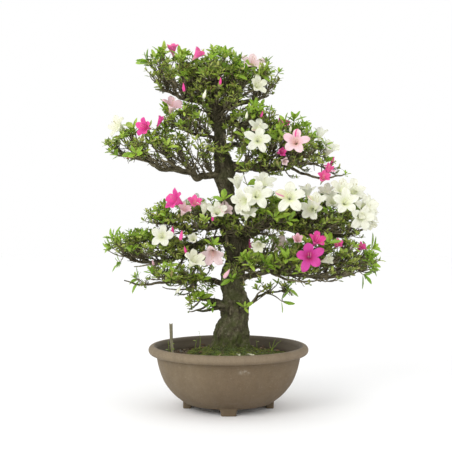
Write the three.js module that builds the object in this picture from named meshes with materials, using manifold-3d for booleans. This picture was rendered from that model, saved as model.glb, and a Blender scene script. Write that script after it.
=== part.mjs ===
// A flowering satsuki azalea trained as a bonsai, in a round unglazed pot on four bracket feet.
//
// Millimetres, +Z up, front of the tree towards -Y. Everything is modelled about the pot's own axis and
// moved at the end, so that the origin lies under the middle of the whole plant, on the ground.
//
// From the ground up: the pot, a mesh screen over its drain hole held by a bent wire clip, a wire that ties
// the roots down, a drainage layer of gravel, the soil, a moss mound, a bamboo peg, the trunk with its
// surface roots, fifteen limbs, twenty leaf sprays and sixteen flowers.
import * as THREE from "three";
import { mergeVertices } from "three/addons/utils/BufferGeometryUtils.js";
import Module from "manifold-3d";

const wasm = await Module();
wasm.setup();

// ---------------------------------------------------------------- driving dimensions

const GAP = 0.35; // between pieces that touch
const TURN = 2 * Math.PI;
const GOLDEN_ANGLE = Math.PI * (3 - Math.sqrt(5));

// Pot
const POT_RADIUS = 160; // outside of the rolled rim
const RIM_ROLL = 9; // radius of the roll's round section
const RIM_LEVEL = 117; // height of the roll's centre
const WALL_TOP_RADIUS = 144; // outside of the bowl under the roll
const WALL = 7;
const BASE_RADIUS = 90; // where the bowl meets its foot ring
const RING_BOTTOM = 12; // underside of the foot ring
const FLOOR_UNDER = 15; // underside of the floor, inside the ring
const FLOOR_TOP = 22;
const DRAIN_RADIUS = 18;
const FOOT = { count: 4, topWidth: 43, width: 30, depth: 15, face: 90 };
const POT_SIDES = 32;

// What the pot is filled with
const GRAVEL_TOP = 36;
const SOIL_TOP = 103;
const MOUND = { height: 26, radius: 118, trunkSide: 34 };
const SCREEN = { size: 54, thick: 1.4, bars: 5, bar: 2.4 };
const CLIP_WIRE = 0.9; // radius
const ANCHOR = { wire: 1.2, hole: 3, reach: 46 }; // wire and hole radius, and the holes' distance from the axis
const PEG = { x: -113, y: 20, top: 166, bottom: 60, width: 7, thick: 4, lean: 0.055 };

// Plant
const LEAF = 29; // length of a leaf from the middle of its rosette
const LEAF_LIFT = 11;
const TWIG = 1.1; // radius of a twig under a rosette
const HUB = 5; // radius of the knot that a spray's twigs spring from
const FLOWER = { radius: 31, tube: 26, stalk: 12, turn: 0.2 };

// ---------------------------------------------------------------- materials

const finish = (color, roughness = 0.8, metalness = 0) =>
  new THREE.MeshStandardMaterial({ color, roughness, metalness });

const MATERIALS = {
  pot: finish("#7a6852", 0.75),
  gravel: finish("#6f6558", 0.95),
  soil: finish("#4a3a28", 0.95),
  moss: finish("#4c5a22", 0.95),
  wire: finish("#b8b6b2", 0.4, 0.9),
  screen: finish("#2c2c2a", 0.6),
  bamboo: finish("#7c7658", 0.7),
  bark: finish("#4c4632", 0.9),
  leaves: finish("#4f6a24", 0.6),
  white: finish("#dfe2b8", 0.6),
  magenta: finish("#c2307c", 0.6),
  pink: finish("#dcb2ae", 0.6),
};

// ---------------------------------------------------------------- solids and meshes

// A geometry with its doubled corners merged, which stays closed however it is bent and turned after.
function whole(geometry) {
  const bare = geometry.index ? geometry.toNonIndexed() : geometry.clone();
  bare.deleteAttribute("normal");
  bare.deleteAttribute("uv");
  return mergeVertices(bare, 1e-3);
}

// A closed geometry as a solid that can be cut and joined.
function solid(geometry) {
  const merged = geometry.getAttribute("uv") ? whole(geometry) : geometry;
  return new wasm.Manifold(
    new wasm.Mesh({
      numProp: 3,
      vertProperties: merged.getAttribute("position").array,
      triVerts: new Uint32Array(merged.index.array),
    }),
  );
}

function geometryOf(made) {
  const mesh = made.getMesh();
  return new THREE.BufferGeometry()
    .setAttribute("position", new THREE.BufferAttribute(mesh.vertProperties, mesh.numProp))
    .setIndex(new THREE.BufferAttribute(mesh.triVerts, 1));
}

const join = (solids) => solids.reduce((all, next) => all.add(next));
const cut = (made, others) => others.reduce((left, other) => left.subtract(other), made);

// The biggest of the bodies that a cut has left.
const largest = (made) =>
  made.decompose().reduce((a, b) => (b.volume() > a.volume() ? b : a));

// Whether a solid keeps clear of every one of the others.
function clears(made, others) {
  const box = made.boundingBox();
  return others.every((other) => {
    const near = other.boundingBox();
    if ([0, 1, 2].some((i) => box.min[i] > near.max[i] || box.max[i] < near.min[i])) return true;
    const shared = made.intersect(other);
    const apart = shared.isEmpty();
    shared.delete();
    return apart;
  });
}

const point = (p) => new THREE.Vector3(...p);

const plant = new THREE.Group();

// Slivers that a cut has left, thinner than this, are taken out of a piece.
const SLIVER = 0.03;

function piece(name, made, material) {
  const mesh = new THREE.Mesh(geometryOf(made.simplify(SLIVER)), material);
  mesh.name = name;
  plant.add(mesh);
}

// ---------------------------------------------------------------- shapes

// The thickness a share u of the way along.
const radiusAlong = (radii, u) => {
  const place = u * (radii.length - 1);
  const before = Math.min(Math.floor(place), radii.length - 2);
  return THREE.MathUtils.lerp(radii[before], radii[before + 1], place - before);
};

// A cylinder bent along a smooth curve through the points, as thick at each as its radius says. Grow makes
// it that much fatter and longer all round, for cutting a clearance. Flute gives it lobes like old wood.
function sweep(points, radii, { sides = 8, steps = 2 * (points.length - 1), grow = 0, flute = 0 } = {}) {
  const curve = new THREE.CatmullRomCurve3(points.map(point), false, "centripetal");
  const bent = whole(new THREE.CylinderGeometry(1, 1, 1, sides, steps));
  const at = bent.getAttribute("position");
  const rings = [];
  let across = new THREE.Vector3(0.31, 0.94, 0.17);
  for (let k = 0; k <= steps; k++) {
    const u = k / steps;
    const ahead = curve.getTangent(u);
    across = across.clone().addScaledVector(ahead, -across.dot(ahead)).normalize();
    const beyond = k === 0 ? -grow : k === steps ? grow : 0;
    const centre = curve.getPoint(u).addScaledVector(ahead, beyond);
    const over = across.clone().cross(ahead).negate();
    rings.push({ u, radius: radiusAlong(radii, u) + grow, centre, across, over });
  }
  for (let i = 0; i < at.count; i++) {
    const ring = rings[Math.round((at.getY(i) + 0.5) * steps)];
    const angle = Math.atan2(at.getX(i), at.getZ(i));
    const lobes = 1 + flute * (Math.cos(3 * angle + 5 * ring.u) + 0.6 * Math.cos(5 * angle - 9 * ring.u));
    const reach = Math.hypot(at.getX(i), at.getZ(i)) * ring.radius * lobes;
    const v = ring.centre
      .clone()
      .addScaledVector(ring.over, Math.sin(angle) * reach)
      .addScaledVector(ring.across, Math.cos(angle) * reach);
    at.setXYZ(i, v.x, v.y, v.z);
  }
  return solid(bent);
}

// A wire of even thickness.
function wire(points, radius, steps, grow = 0) {
  const section = new THREE.Shape().absarc(0, 0, radius + grow, 0, TURN);
  const extrudePath = new THREE.CatmullRomCurve3(points.map(point), false, "centripetal");
  return solid(new THREE.ExtrudeGeometry(section, { steps, extrudePath, curveSegments: 3 }));
}

// A round solid from [radius, height] points. LatheGeometry turns about Y, so it is stood up on Z.
function turned(profile, sides, shape = (r) => r) {
  const lathe = whole(new THREE.LatheGeometry(profile.map(([r, z]) => new THREE.Vector2(r, z)), sides));
  const at = lathe.getAttribute("position");
  for (let i = 0; i < at.count; i++) {
    const [r, z] = [Math.hypot(at.getX(i), at.getZ(i)), at.getY(i)];
    const angle = Math.atan2(-at.getZ(i), at.getX(i));
    const reach = shape(r, angle, z);
    at.setXYZ(i, Math.cos(angle) * reach, Math.sin(angle) * reach, z);
  }
  return solid(lathe);
}

// A straight tapered stick between two points.
function stick(from, to, fromRadius, toRadius, sides = 3) {
  const span = to.clone().sub(from);
  const rod = whole(new THREE.CylinderGeometry(toRadius, fromRadius, span.length(), sides));
  const upright = new THREE.Vector3(0, 1, 0);
  rod.applyQuaternion(new THREE.Quaternion().setFromUnitVectors(upright, span.clone().normalize()));
  const middle = from.clone().addScaledVector(span, 0.5);
  return solid(rod.translate(middle.x, middle.y, middle.z));
}

// Turns a geometry built along +Z to face a direction, and puts its origin at a point.
function placed(geometry, facing, at) {
  const turn = new THREE.Quaternion().setFromUnitVectors(new THREE.Vector3(0, 0, 1), facing);
  return solid(geometry.clone().applyQuaternion(turn).translate(at.x, at.y, at.z));
}

// ---------------------------------------------------------------- pot

// The bowl's outer or inner wall, from the floor up to the rim.
const bowlCurve = (foot, bottom, side) =>
  new THREE.QuadraticBezierCurve(
    new THREE.Vector2(foot, bottom),
    new THREE.Vector2(side, (bottom + RIM_LEVEL - RIM_ROLL) / 2),
    new THREE.Vector2(side, RIM_LEVEL - RIM_ROLL),
  );

const INNER_FOOT = BASE_RADIUS - 6;
const INNER_SIDE = WALL_TOP_RADIUS - WALL;

function potSolid() {
  const outside = bowlCurve(BASE_RADIUS, RING_BOTTOM + 4, WALL_TOP_RADIUS).getPoints(5);
  const inside = bowlCurve(INNER_FOOT, FLOOR_TOP, INNER_SIDE).getPoints(4).reverse();
  const roll = [];
  for (let angle = -45; angle <= 180; angle += 45)
    roll.push([
      POT_RADIUS - RIM_ROLL + RIM_ROLL * Math.cos(THREE.MathUtils.degToRad(angle)),
      RIM_LEVEL + RIM_ROLL * Math.sin(THREE.MathUtils.degToRad(angle)),
    ]);
  const profile = [
    [DRAIN_RADIUS, FLOOR_UNDER],
    [BASE_RADIUS - 16, FLOOR_UNDER],
    [BASE_RADIUS - 14, RING_BOTTOM],
    [BASE_RADIUS - 3, RING_BOTTOM],
    ...outside.map((p) => [p.x, p.y]),
    ...roll,
    ...inside.map((p) => [p.x, p.y]),
    [DRAIN_RADIUS, FLOOR_TOP],
    [DRAIN_RADIUS, FLOOR_UNDER],
  ];
  const bowl = turned(profile, POT_SIDES);

  const [half, top] = [FOOT.width / 2, FLOOR_UNDER + 1];
  const bracket = new THREE.Shape()
    .moveTo(-half, 0)
    .lineTo(half, 0)
    .quadraticCurveTo(half + 1.5, top - 4, FOOT.topWidth / 2, top)
    .lineTo(-FOOT.topWidth / 2, top)
    .quadraticCurveTo(-half - 1.5, top - 4, -half, 0);
  const foot = new THREE.ExtrudeGeometry(bracket, { depth: FOOT.depth, bevelEnabled: false, curveSegments: 4 });
  foot.rotateX(Math.PI / 2).translate(0, FOOT.depth - FOOT.face, 0);
  const feet = [];
  for (let k = 0; k < FOOT.count; k++) feet.push(solid(foot.clone().rotateZ((k * TURN) / FOOT.count)));

  const wireHoles = [-1, 1].map((side) => {
    const foot = new THREE.Vector3(side * ANCHOR.reach, 0, 0);
    return stick(foot, foot.clone().setZ(FLOOR_TOP + 9), ANCHOR.hole, ANCHOR.hole, 8);
  });
  return join([bowl, ...feet]).subtract(join(wireHoles));
}

// The space inside the pot between two heights, a gap clear of its wall.
function fill(bottom, top) {
  const wall = bowlCurve(INNER_FOOT, FLOOR_TOP, INNER_SIDE).getPoints(4);
  const radiusAt = (height) => {
    const k = wall.findIndex((p, i) => i > 0 && p.y >= height);
    const share = (height - wall[k - 1].y) / (wall[k].y - wall[k - 1].y);
    return THREE.MathUtils.lerp(wall[k - 1].x, wall[k].x, share) - 2 * GAP;
  };
  const between = wall.filter((p) => p.y > bottom + 2 && p.y < top - 2);
  return turned(
    [[0, bottom], [radiusAt(bottom), bottom], ...between.map((p) => [p.x - 2 * GAP, p.y]), [radiusAt(top), top], [0, top]],
    POT_SIDES,
  );
}

// ---------------------------------------------------------------- hardware inside the pot

// A square of plastic mesh that lies over the drain hole.
function screenSolid() {
  const { size, thick, bars, bar } = SCREEN;
  const pitch = (size - bar) / bars;
  const opening = new THREE.BoxGeometry(pitch - bar, pitch - bar, 3 * thick);
  const openings = [];
  for (let i = 0; i < bars; i++)
    for (let j = 0; j < bars; j++) {
      const [x, y] = [i, j].map((k) => (k - (bars - 1) / 2) * pitch);
      openings.push(solid(opening.clone().translate(x, y, FLOOR_TOP + GAP + thick / 2)));
    }
  const sheet = new THREE.BoxGeometry(size, size, thick).translate(0, 0, FLOOR_TOP + GAP + thick / 2);
  return solid(sheet).subtract(join(openings));
}

// The clip lies across the screen, goes down through its mesh and the drain hole, and turns out under the
// floor on both sides.
function clipSolid(grow = 0) {
  const over = FLOOR_TOP + SCREEN.thick + 2 * GAP + CLIP_WIRE;
  const under = FLOOR_UNDER - GAP - CLIP_WIRE - 0.3;
  const leg = (SCREEN.size - SCREEN.bar) / SCREEN.bars;
  const half = [
    [0, 0, over],
    [leg - 2.5, 0, over],
    [leg, 0, over - 2.2],
    [leg, 0, under + 2.4],
    [leg + 2.4, 0, under],
    [DRAIN_RADIUS + 12, 0, under],
  ];
  const other = half.slice(1).reverse().map(([x, y, z]) => [-x, y, z]);
  return wire([...other, ...half], CLIP_WIRE, 22, grow);
}

// The tie-down wire runs under the floor from one small hole to the other, comes up through the soil on
// each side of the trunk and ends between the surface roots.
function anchorSolid(grow = 0) {
  const { wire: radius, reach } = ANCHOR;
  const under = FLOOR_UNDER - GAP - radius - 2.6;
  const half = [
    [0, -4, under],
    [reach - 8, -1, under],
    [reach, 0, under + 5],
    [reach, 0, 60],
    [reach + 12, 0, 92],
    [reach + 12, -4, 106],
  ];
  const other = half.slice(1).reverse().map(([x, y, z]) => [-x, y, z]);
  return wire([...other, ...half], radius, 24, grow);
}

// A split of bamboo pushed into the soil.
function pegSolid(grow = 0) {
  const { width, thick, top, bottom } = PEG;
  const blade = new THREE.Shape()
    .moveTo(-width / 2 - grow, bottom + 16)
    .lineTo(0, bottom - grow)
    .lineTo(width / 2 + grow, bottom + 16)
    .lineTo(width / 2 + grow, top + grow)
    .lineTo(-width / 2 - grow, top + grow);
  const split = new THREE.ExtrudeGeometry(blade, { depth: thick + 2 * grow, bevelEnabled: false });
  split.rotateX(Math.PI / 2).translate(0, thick / 2 + grow, -SOIL_TOP);
  split.rotateY(-PEG.lean).rotateZ(0.25).translate(PEG.x, PEG.y, SOIL_TOP);
  return solid(split);
}

// ---------------------------------------------------------------- wood

// The trunk's centre line, with its radius there.
const TRUNK = [
  [[4, 4, 74], 26],
  [[6, 2, 108], 42],
  [[7, 0, 128], 37],
  [[9, -2, 156], 33],
  [[14, -4, 182], 26],
  [[14, -5, 216], 23],
  [[9, -5, 240], 21],
  [[8, -3, 266], 23.5],
  [[15, 0, 300], 20],
  [[12, 4, 336], 23],
  [[5, 5, 362], 21],
  [[-1, 3, 400], 16],
  [[-4, 0, 440], 15],
  [[-7, -3, 474], 17.5],
  [[-14, -4, 505], 14],
  [[-15, -2, 535], 12],
  [[-18, 0, 558], 12],
  [[-25, 2, 582], 13],
  [[-30, 2, 606], 10],
  [[-33, 0, 634], 7],
  [[-38, -4, 666], 4],
  [[-42, -8, 690], 2],
];

// Surface roots run out from the flare at these bearings and dive into the soil: bearing in degrees,
// reach and thickness.
const ROOTS = [
  [-160, 64, 11],
  [-110, 58, 12],
  [-62, 66, 10],
  [-26, 60, 12],
  [40, 56, 10],
  [95, 62, 11],
  [150, 68, 12],
];

// Short growth that is part of the trunk: a limb cut back to a stub, and thin shoots.
const TRUNK_GROWTH = [
  { path: [[6, -4, 200], [-20, -12, 208], [-38, -16, 217]], radii: [14, 10, 6] },
  { path: [[-18, -12, 202], [-46, -20, 196], [-66, -22, 198]], radii: [4, 2.4, 1.6] },
  { path: [[20, -8, 206], [47, -12, 212], [60, -14, 223], [76, -16, 232], [100, -18, 234], [126, -18, 248]], radii: [5, 2.6, 2.2, 2, 1.6, 1.2] },
  { path: [[9, -2, 288], [18, -42, 282], [36, -72, 280]], radii: [6, 3, 2] },
];

function trunkSolid(grow = 0) {
  const centre = TRUNK.map(([at]) => at);
  const thickness = TRUNK.map(([, radius]) => radius);
  const stem = sweep(centre, thickness, { sides: 10, steps: 24, grow, flute: 0.04 });
  const roots = ROOTS.map(([bearing, reach, thick]) => {
    const [x, y] = [Math.cos((bearing * TURN) / 360), Math.sin((bearing * TURN) / 360)];
    const run = [[18, 136], [36, 118], [reach * 0.8, 102], [reach, 82], [reach + 6, 58]];
    const radii = [thick, thick, thick * 0.7, thick * 0.45, 2];
    return sweep(run.map(([r, z]) => [7 + x * r, y * r, z]), radii, { sides: 5, steps: 5, grow });
  });
  const growth = TRUNK_GROWTH.map(({ path, radii }) => sweep(path, radii, { sides: 5, steps: 5, grow }));
  return join([stem, ...roots, ...growth]);
}

// Limbs start inside the trunk, and are cut off at its bark.
const LIMBS = {
  lowest_left: {
    path: [[0, -2, 248], [-27, -18, 254], [-57, -32, 260], [-91, -42, 257], [-137, -46, 253], [-173, -44, 250], [-205, -40, 258]],
    radii: [9, 6.5, 5, 4, 3, 2.2, 1.4],
  },
  low_left: {
    path: [[4, 2, 336], [-41, -4, 334], [-67, -12, 323], [-97, -20, 306], [-137, -24, 293], [-177, -22, 294], [-212, -18, 308]],
    radii: [11, 8, 7, 6, 5, 3.5, 2],
  },
  low_right: {
    path: [[10, -2, 262], [43, -10, 265], [79, -22, 274], [119, -32, 270], [163, -36, 264], [213, -32, 264], [247, -26, 270]],
    radii: [10, 7, 6, 5, 4, 3, 2],
  },
  back_low: {
    path: [[14, 0, 302], [34, 38, 296], [58, 78, 290], [82, 108, 288]],
    radii: [10, 7, 5, 3],
  },
  mid_left: {
    path: [[0, 2, 376], [-33, -26, 362], [-67, -42, 362], [-101, -50, 367], [-132, -52, 373]],
    radii: [9, 7, 5, 3.5, 2],
  },
  mid_right: {
    path: [[10, 3, 334], [36, -4, 344], [63, -12, 362], [99, -18, 366], [139, -20, 353], [183, -18, 345], [233, -12, 346], [268, -8, 358]],
    radii: [15, 11, 9.5, 8.5, 7, 5.5, 4, 2.5],
  },
  back_mid: {
    path: [[0, 4, 390], [-6, 44, 380], [-22, 84, 372], [-36, 116, 374]],
    radii: [10, 7, 5, 3],
  },
  upper_left: {
    path: [[-8, -3, 468], [-38, -6, 466], [-61, -10, 458], [-77, -12, 471], [-104, -14, 475], [-131, -14, 477], [-157, -10, 491], [-190, -6, 500], [-226, 0, 520]],
    radii: [11, 8, 7.5, 6.5, 6, 5.5, 4.5, 3.2, 1.8],
  },
  upper_left_inner: {
    path: [[-15, 0, 538], [-36, -4, 543], [-58, -14, 544], [-81, -20, 551], [-104, -22, 570]],
    radii: [6, 4, 3.5, 3, 2],
  },
  upper_right: {
    path: [[-8, -3, 480], [22, -6, 480], [53, -14, 482], [83, -20, 478], [107, -22, 487], [139, -20, 498], [178, -14, 508]],
    radii: [14, 11, 9, 7.5, 6, 4.5, 2.5],
  },
  upper_right_inner: {
    path: [[-20, 0, 576], [8, -4, 573], [27, -10, 560], [53, -16, 551], [76, -20, 553]],
    radii: [10, 8, 6.5, 5, 3],
  },
  back_upper: {
    path: [[-14, -3, 522], [16, 38, 528], [48, 74, 534], [72, 96, 538]],
    radii: [8, 6, 4.5, 2.5],
  },
  crown_left: {
    path: [[-28, 2, 600], [-57, -6, 613], [-87, -10, 617], [-113, -10, 629], [-145, -6, 637]],
    radii: [8, 6, 5, 3.5, 1.8],
  },
  crown_right: {
    path: [[-24, 2, 586], [-2, -4, 603], [23, -8, 609], [53, -10, 614], [80, -8, 624]],
    radii: [9, 7.5, 6, 4.5, 2],
  },
  crown_back: {
    path: [[-31, 0, 612], [-28, 34, 624], [-26, 66, 634], [-26, 90, 640]],
    radii: [7, 5, 4, 2.5],
  },
};

const limbSolid = ({ path, radii }, grow = 0) => sweep(path, radii, { sides: 6, steps: path.length - 1, grow });

// ---------------------------------------------------------------- flowers

// Each flower: colour, the spray it stands on, its place there as shares of the dome's half width, half depth
// and height, and the way it faces (-Y is the front).
const FLOWERS = [
  ["pink", "crown_left", [0.65, -0.7, 0.65], [0.5, -0.3, 0.8]],
  ["magenta", "upper_left", [0.15, -0.85, 0.9], [-0.45, -0.8, -0.1]],
  ["white", "upper_left", [-0.85, -0.1, 0.9], [-0.9, -0.3, 0.15]],
  ["white", "upper_right_inner", [0.15, -1.2, -0.45], [0.05, -0.97, 0.1]],
  ["pink", "upper_right", [-0.25, -1.1, 0.3], [-0.15, -0.93, 0.2]],
  ["white", "upper_right", [0.3, -0.3, 0.65], [0.35, -0.1, 0.9]],
  ["white", "mid_right_inner", [-0.8, -1.2, 1.05], [0.3, -0.85, 0.05]],
  ["white", "mid_right_inner", [-1.1, -1.1, 0.45], [0.1, -0.45, 0.85]],
  ["white", "mid_right_inner", [0.25, -1.35, 0.9], [-0.08, -0.97, 0.15]],
  ["white", "mid_right", [0.05, -1.1, 0.7], [0.05, -0.95, 0.25]],
  ["white", "mid_right", [0.65, -0.6, 0.6], [0.6, -0.7, 0.1]],
  ["magenta", "mid_left", [-0.25, -0.65, 0.9], [-0.85, -0.3, 0.35]],
  ["white", "low_left", [0.4, -1.05, 0.85], [0.1, -0.95, 0.15]],
  ["pink", "lowest_left", [1, -0.7, 1.6], [0.1, 0.35, -0.9]],
  ["white", "lowest_left", [0.4, -1.1, 1.4], [0.45, -0.35, 0.8]],
  ["magenta", "low_right", [-0.35, -1.1, 0.6], [0.0, -0.98, 0.1]],
];

// A thin funnel on its stalk, mouth at the origin, opening along +Z. Its edge is drawn out into five lobes,
// and both walls are folded along the same lines, so they meet only at the edge.
function flowerGeometry() {
  const { radius, tube, stalk } = FLOWER;
  const sides = 10;
  const edge = (i) => radius * (i % 2 ? 0.44 : 1);
  const rings = [
    [() => 1.3, -tube],
    [() => 4.5, -tube * 0.45],
    [() => radius * 0.3, -5.5],
    [edge, 2],
    [() => radius * 0.3, -3.5],
  ];
  const at = [[0, 0, -tube - stalk]];
  for (const [reach, z] of rings)
    for (let i = 0; i < sides; i++) {
      const angle = (i / sides) * 2 * Math.PI + FLOWER.turn;
      at.push([reach(i) * Math.cos(angle), reach(i) * Math.sin(angle), z]);
    }
  at.push([0, 0, -tube * 0.45]);

  const corner = (ring, i) => 1 + ring * sides + (i % sides);
  const faces = [];
  for (let i = 0; i < sides; i++) {
    faces.push([0, corner(0, i + 1), corner(0, i)]);
    for (let ring = 0; ring < rings.length - 1; ring++) {
      const [a, b] = [corner(ring, i), corner(ring, i + 1)];
      const [c, d] = [corner(ring + 1, i + 1), corner(ring + 1, i)];
      if (ring < 3) faces.push([a, b, d], [b, c, d]);
      else faces.push([a, b, c], [a, c, d]);
    }
    faces.push([corner(rings.length - 1, i), corner(rings.length - 1, i + 1), at.length - 1]);
  }
  const funnel = new THREE.BufferGeometry();
  funnel.setAttribute("position", new THREE.Float32BufferAttribute(at.flat(), 3));
  funnel.setIndex(faces.flat());
  return funnel;
}

// The middle of a flower's mouth, from its place on the spray's dome.
const flowerMouth = ([, spray, share]) =>
  point(SPRAYS[spray].middle).add(point(share).multiply(point(SPRAYS[spray].dome)));

const flowerBase = (entry) =>
  flowerMouth(entry).addScaledVector(point(entry[3]).normalize(), -FLOWER.tube - FLOWER.stalk);

// ---------------------------------------------------------------- leaf sprays

// A spray is the twigs and leaves over one limb, as one grown piece: the limb, how far along it the twigs
// spring, and the middle of the underside, half width, half depth and height of the dome of leaves.
const STUB = TRUNK_GROWTH[0];
const LOW_SHOOT = TRUNK_GROWTH[2];
const FRONT_SHOOT = TRUNK_GROWTH[3];
const TOP = { path: TRUNK.map(([at]) => at), radii: TRUNK.map(([, radius]) => radius) };
const SPRAYS = {
  lowest_left: { limb: LIMBS.lowest_left, along: 0.45, middle: [-104, -42, 252], dome: [76, 50, 34] },
  stub: { limb: STUB, along: 0.9, middle: [-46, -24, 212], dome: [28, 30, 36] },
  lowest_right: { limb: LOW_SHOOT, along: 0.75, middle: [92, -18, 228], dome: [34, 24, 20] },
  low_left: { limb: LIMBS.low_left, along: 0.7, middle: [-160, -24, 300], dome: [74, 72, 52] },
  low_right: { limb: LIMBS.low_right, along: 0.7, middle: [185, -32, 268], dome: [94, 78, 62] },
  front_low: { limb: FRONT_SHOOT, along: 0.95, middle: [46, -70, 274], dome: [46, 40, 42] },
  back_low: { limb: LIMBS.back_low, along: 0.85, middle: [78, 104, 286], dome: [88, 52, 46] },
  mid_left: { limb: LIMBS.mid_left, along: 0.65, middle: [-84, -52, 360], dome: [74, 60, 54] },
  mid_right_inner: { limb: LIMBS.mid_right, along: 0.43, middle: [100, -26, 368], dome: [62, 72, 54] },
  mid_right: { limb: LIMBS.mid_right, along: 0.8, middle: [218, -14, 352], dome: [68, 80, 80] },
  back_mid: { limb: LIMBS.back_mid, along: 0.85, middle: [-18, 106, 368], dome: [96, 54, 46] },
  upper_left: { limb: LIMBS.upper_left, along: 0.7, middle: [-164, -8, 500], dome: [70, 74, 62] },
  upper_left_inner: { limb: LIMBS.upper_left_inner, along: 0.7, middle: [-84, -18, 548], dome: [44, 58, 56] },
  upper_right: { limb: LIMBS.upper_right, along: 0.72, middle: [150, -16, 500], dome: [84, 80, 72] },
  upper_right_inner: { limb: LIMBS.upper_right_inner, along: 0.7, middle: [48, -26, 550], dome: [46, 60, 50] },
  back_upper: { limb: LIMBS.back_upper, along: 0.85, middle: [76, 94, 534], dome: [76, 54, 46] },
  crown_left: { limb: LIMBS.crown_left, along: 0.7, middle: [-108, -8, 634], dome: [58, 78, 92] },
  apex: { limb: TOP, along: 1, middle: [-34, -26, 656], dome: [56, 88, 66] },
  crown_right: { limb: LIMBS.crown_right, along: 0.6, middle: [46, -10, 626], dome: [60, 80, 82] },
  crown_back: { limb: LIMBS.crown_back, along: 0.85, middle: [-26, 84, 640], dome: [88, 56, 62] },
};

// Where a spray's twigs spring: just clear of the limb's upper side.
function springOf({ limb: { path, radii }, along }) {
  const curve = new THREE.CatmullRomCurve3(path.map(point), false, "centripetal");
  return curve.getPoint(along).add(new THREE.Vector3(0, 0, radiusAlong(radii, along) + TWIG + 3 * GAP));
}

// A rosette of five leaves: a shallow cone, point down, whose edge is drawn out into five raised tips.
function rosetteGeometry() {
  const cone = whole(new THREE.ConeGeometry(1, 1, 10));
  const at = cone.getAttribute("position");
  for (let i = 0; i < at.count; i++) {
    const [x, y, onPoint] = [at.getX(i), at.getZ(i), at.getY(i) > 0];
    const edge = Math.hypot(x, y) > 0.5;
    const tip = Math.sin(5 * Math.atan2(y, x)) > 0;
    const reach = edge ? (tip ? LEAF : LEAF * 0.38) : 0;
    const height = edge ? (tip ? LEAF_LIFT : LEAF_LIFT * 0.4) : onPoint ? -3.6 : 3;
    at.setXYZ(i, x * reach, y * reach, height);
  }
  return cone;
}

const twigTo = (spray, end, grow = 0) => stick(springOf(spray), end, TWIG + grow, TWIG + grow);

// Where a flower's twig ends, just short of its stalk.
function stalkEnd(spray, entry) {
  const base = flowerBase(entry);
  return base.clone().addScaledVector(base.clone().sub(springOf(spray)).normalize(), -GAP - 0.4);
}

// A flower belongs to the nearest spray that has a clear way to it.
const sprayOf = (entry, standing) =>
  Object.keys(SPRAYS)
    .sort((a, b) => springOf(SPRAYS[a]).distanceTo(flowerBase(entry)) - springOf(SPRAYS[b]).distanceTo(flowerBase(entry)))
    .find((name) => clears(twigTo(SPRAYS[name], stalkEnd(SPRAYS[name], entry), GAP), standing));

// The knot at a spray's foot, shaped to its limb, and the twigs to the spray's own flowers.
function sprayFrame(spray, standing, flowers) {
  const knot = solid(new THREE.SphereGeometry(HUB, 5, 3).translate(...springOf(spray)));
  const touching = standing.filter((other) => !clears(knot, [other]));
  return [cut(knot, touching), ...flowers.map((entry) => twigTo(spray, stalkEnd(spray, entry)))];
}

// Leaf rosettes are spread over the dome by the golden angle, each on a twig from the spray's foot. Growth
// that would touch what already stands there is left off.
function spraySolid(spray, frame, standing) {
  const [width, depth, height] = spray.dome;
  const parts = [...frame];
  const rosette = rosetteGeometry();
  const count = THREE.MathUtils.clamp(Math.round((width * depth) / 600), 3, 9);
  for (let k = 0; k < count; k++) {
    const rise = 0.2 + (0.78 * (k + 0.5)) / count;
    const out = Math.sqrt(1 - rise * rise);
    const [x, y] = [Math.cos(k * GOLDEN_ANGLE) * out, Math.sin(k * GOLDEN_ANGLE) * out];
    const tip = point(spray.middle).add(new THREE.Vector3(x * width, y * depth, rise * height));
    const leaves = placed(rosette, new THREE.Vector3(x, y, rise + 0.8).normalize(), tip);
    if (clears(twigTo(spray, tip, GAP), standing)) parts.push(twigTo(spray, tip));
    if (parts.length > frame.length && clears(leaves, standing)) parts.push(leaves);
  }
  return largest(join(parts));
}

// ---------------------------------------------------------------- assembly

const trunk = trunkSolid();
const trunkRoom = trunkSolid(GAP);
const pegRoom = pegSolid(GAP);
const anchorRoom = anchorSolid(GAP);
const screenRoom = solid(new THREE.BoxGeometry(SCREEN.size + 2, SCREEN.size + 2, 12).translate(0, 0, FLOOR_TOP));

piece("pot", potSolid(), MATERIALS.pot);
piece("drain_screen", screenSolid(), MATERIALS.screen);
piece("screen_clip", clipSolid(), MATERIALS.wire);
piece("anchor_wire", anchorSolid(), MATERIALS.wire);
piece("gravel_layer", fill(FLOOR_TOP + GAP, GRAVEL_TOP - GAP).subtract(anchorRoom).subtract(screenRoom), MATERIALS.gravel);

const buried = join([trunkRoom, anchorRoom, pegRoom]);
piece("soil", largest(fill(GRAVEL_TOP, SOIL_TOP - GAP).subtract(buried)), MATERIALS.soil);

const mound = turned(
  [
    [0, SOIL_TOP],
    [MOUND.radius - 2, SOIL_TOP],
    [MOUND.radius, SOIL_TOP + 2],
    [MOUND.radius * 0.84, SOIL_TOP + MOUND.height * 0.3],
    [MOUND.radius * 0.62, SOIL_TOP + MOUND.height * 0.62],
    [MOUND.trunkSide, SOIL_TOP + MOUND.height],
    [0, SOIL_TOP + MOUND.height],
  ],
  26,
  (r, angle) => r * (1 + 0.07 * Math.sin(3 * angle + 1) + 0.04 * Math.sin(7 * angle)),
);
piece("moss_mound", largest(mound.subtract(buried)), MATERIALS.moss);
piece("bamboo_peg", pegSolid(), MATERIALS.bamboo);
piece("trunk", trunk, MATERIALS.bark);

const standing = [trunkRoom];
for (const [name, limb] of Object.entries(LIMBS)) {
  piece("limb_" + name, largest(cut(limbSolid(limb), standing)), MATERIALS.bark);
  standing.push(limbSolid(limb, GAP));
}

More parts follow.
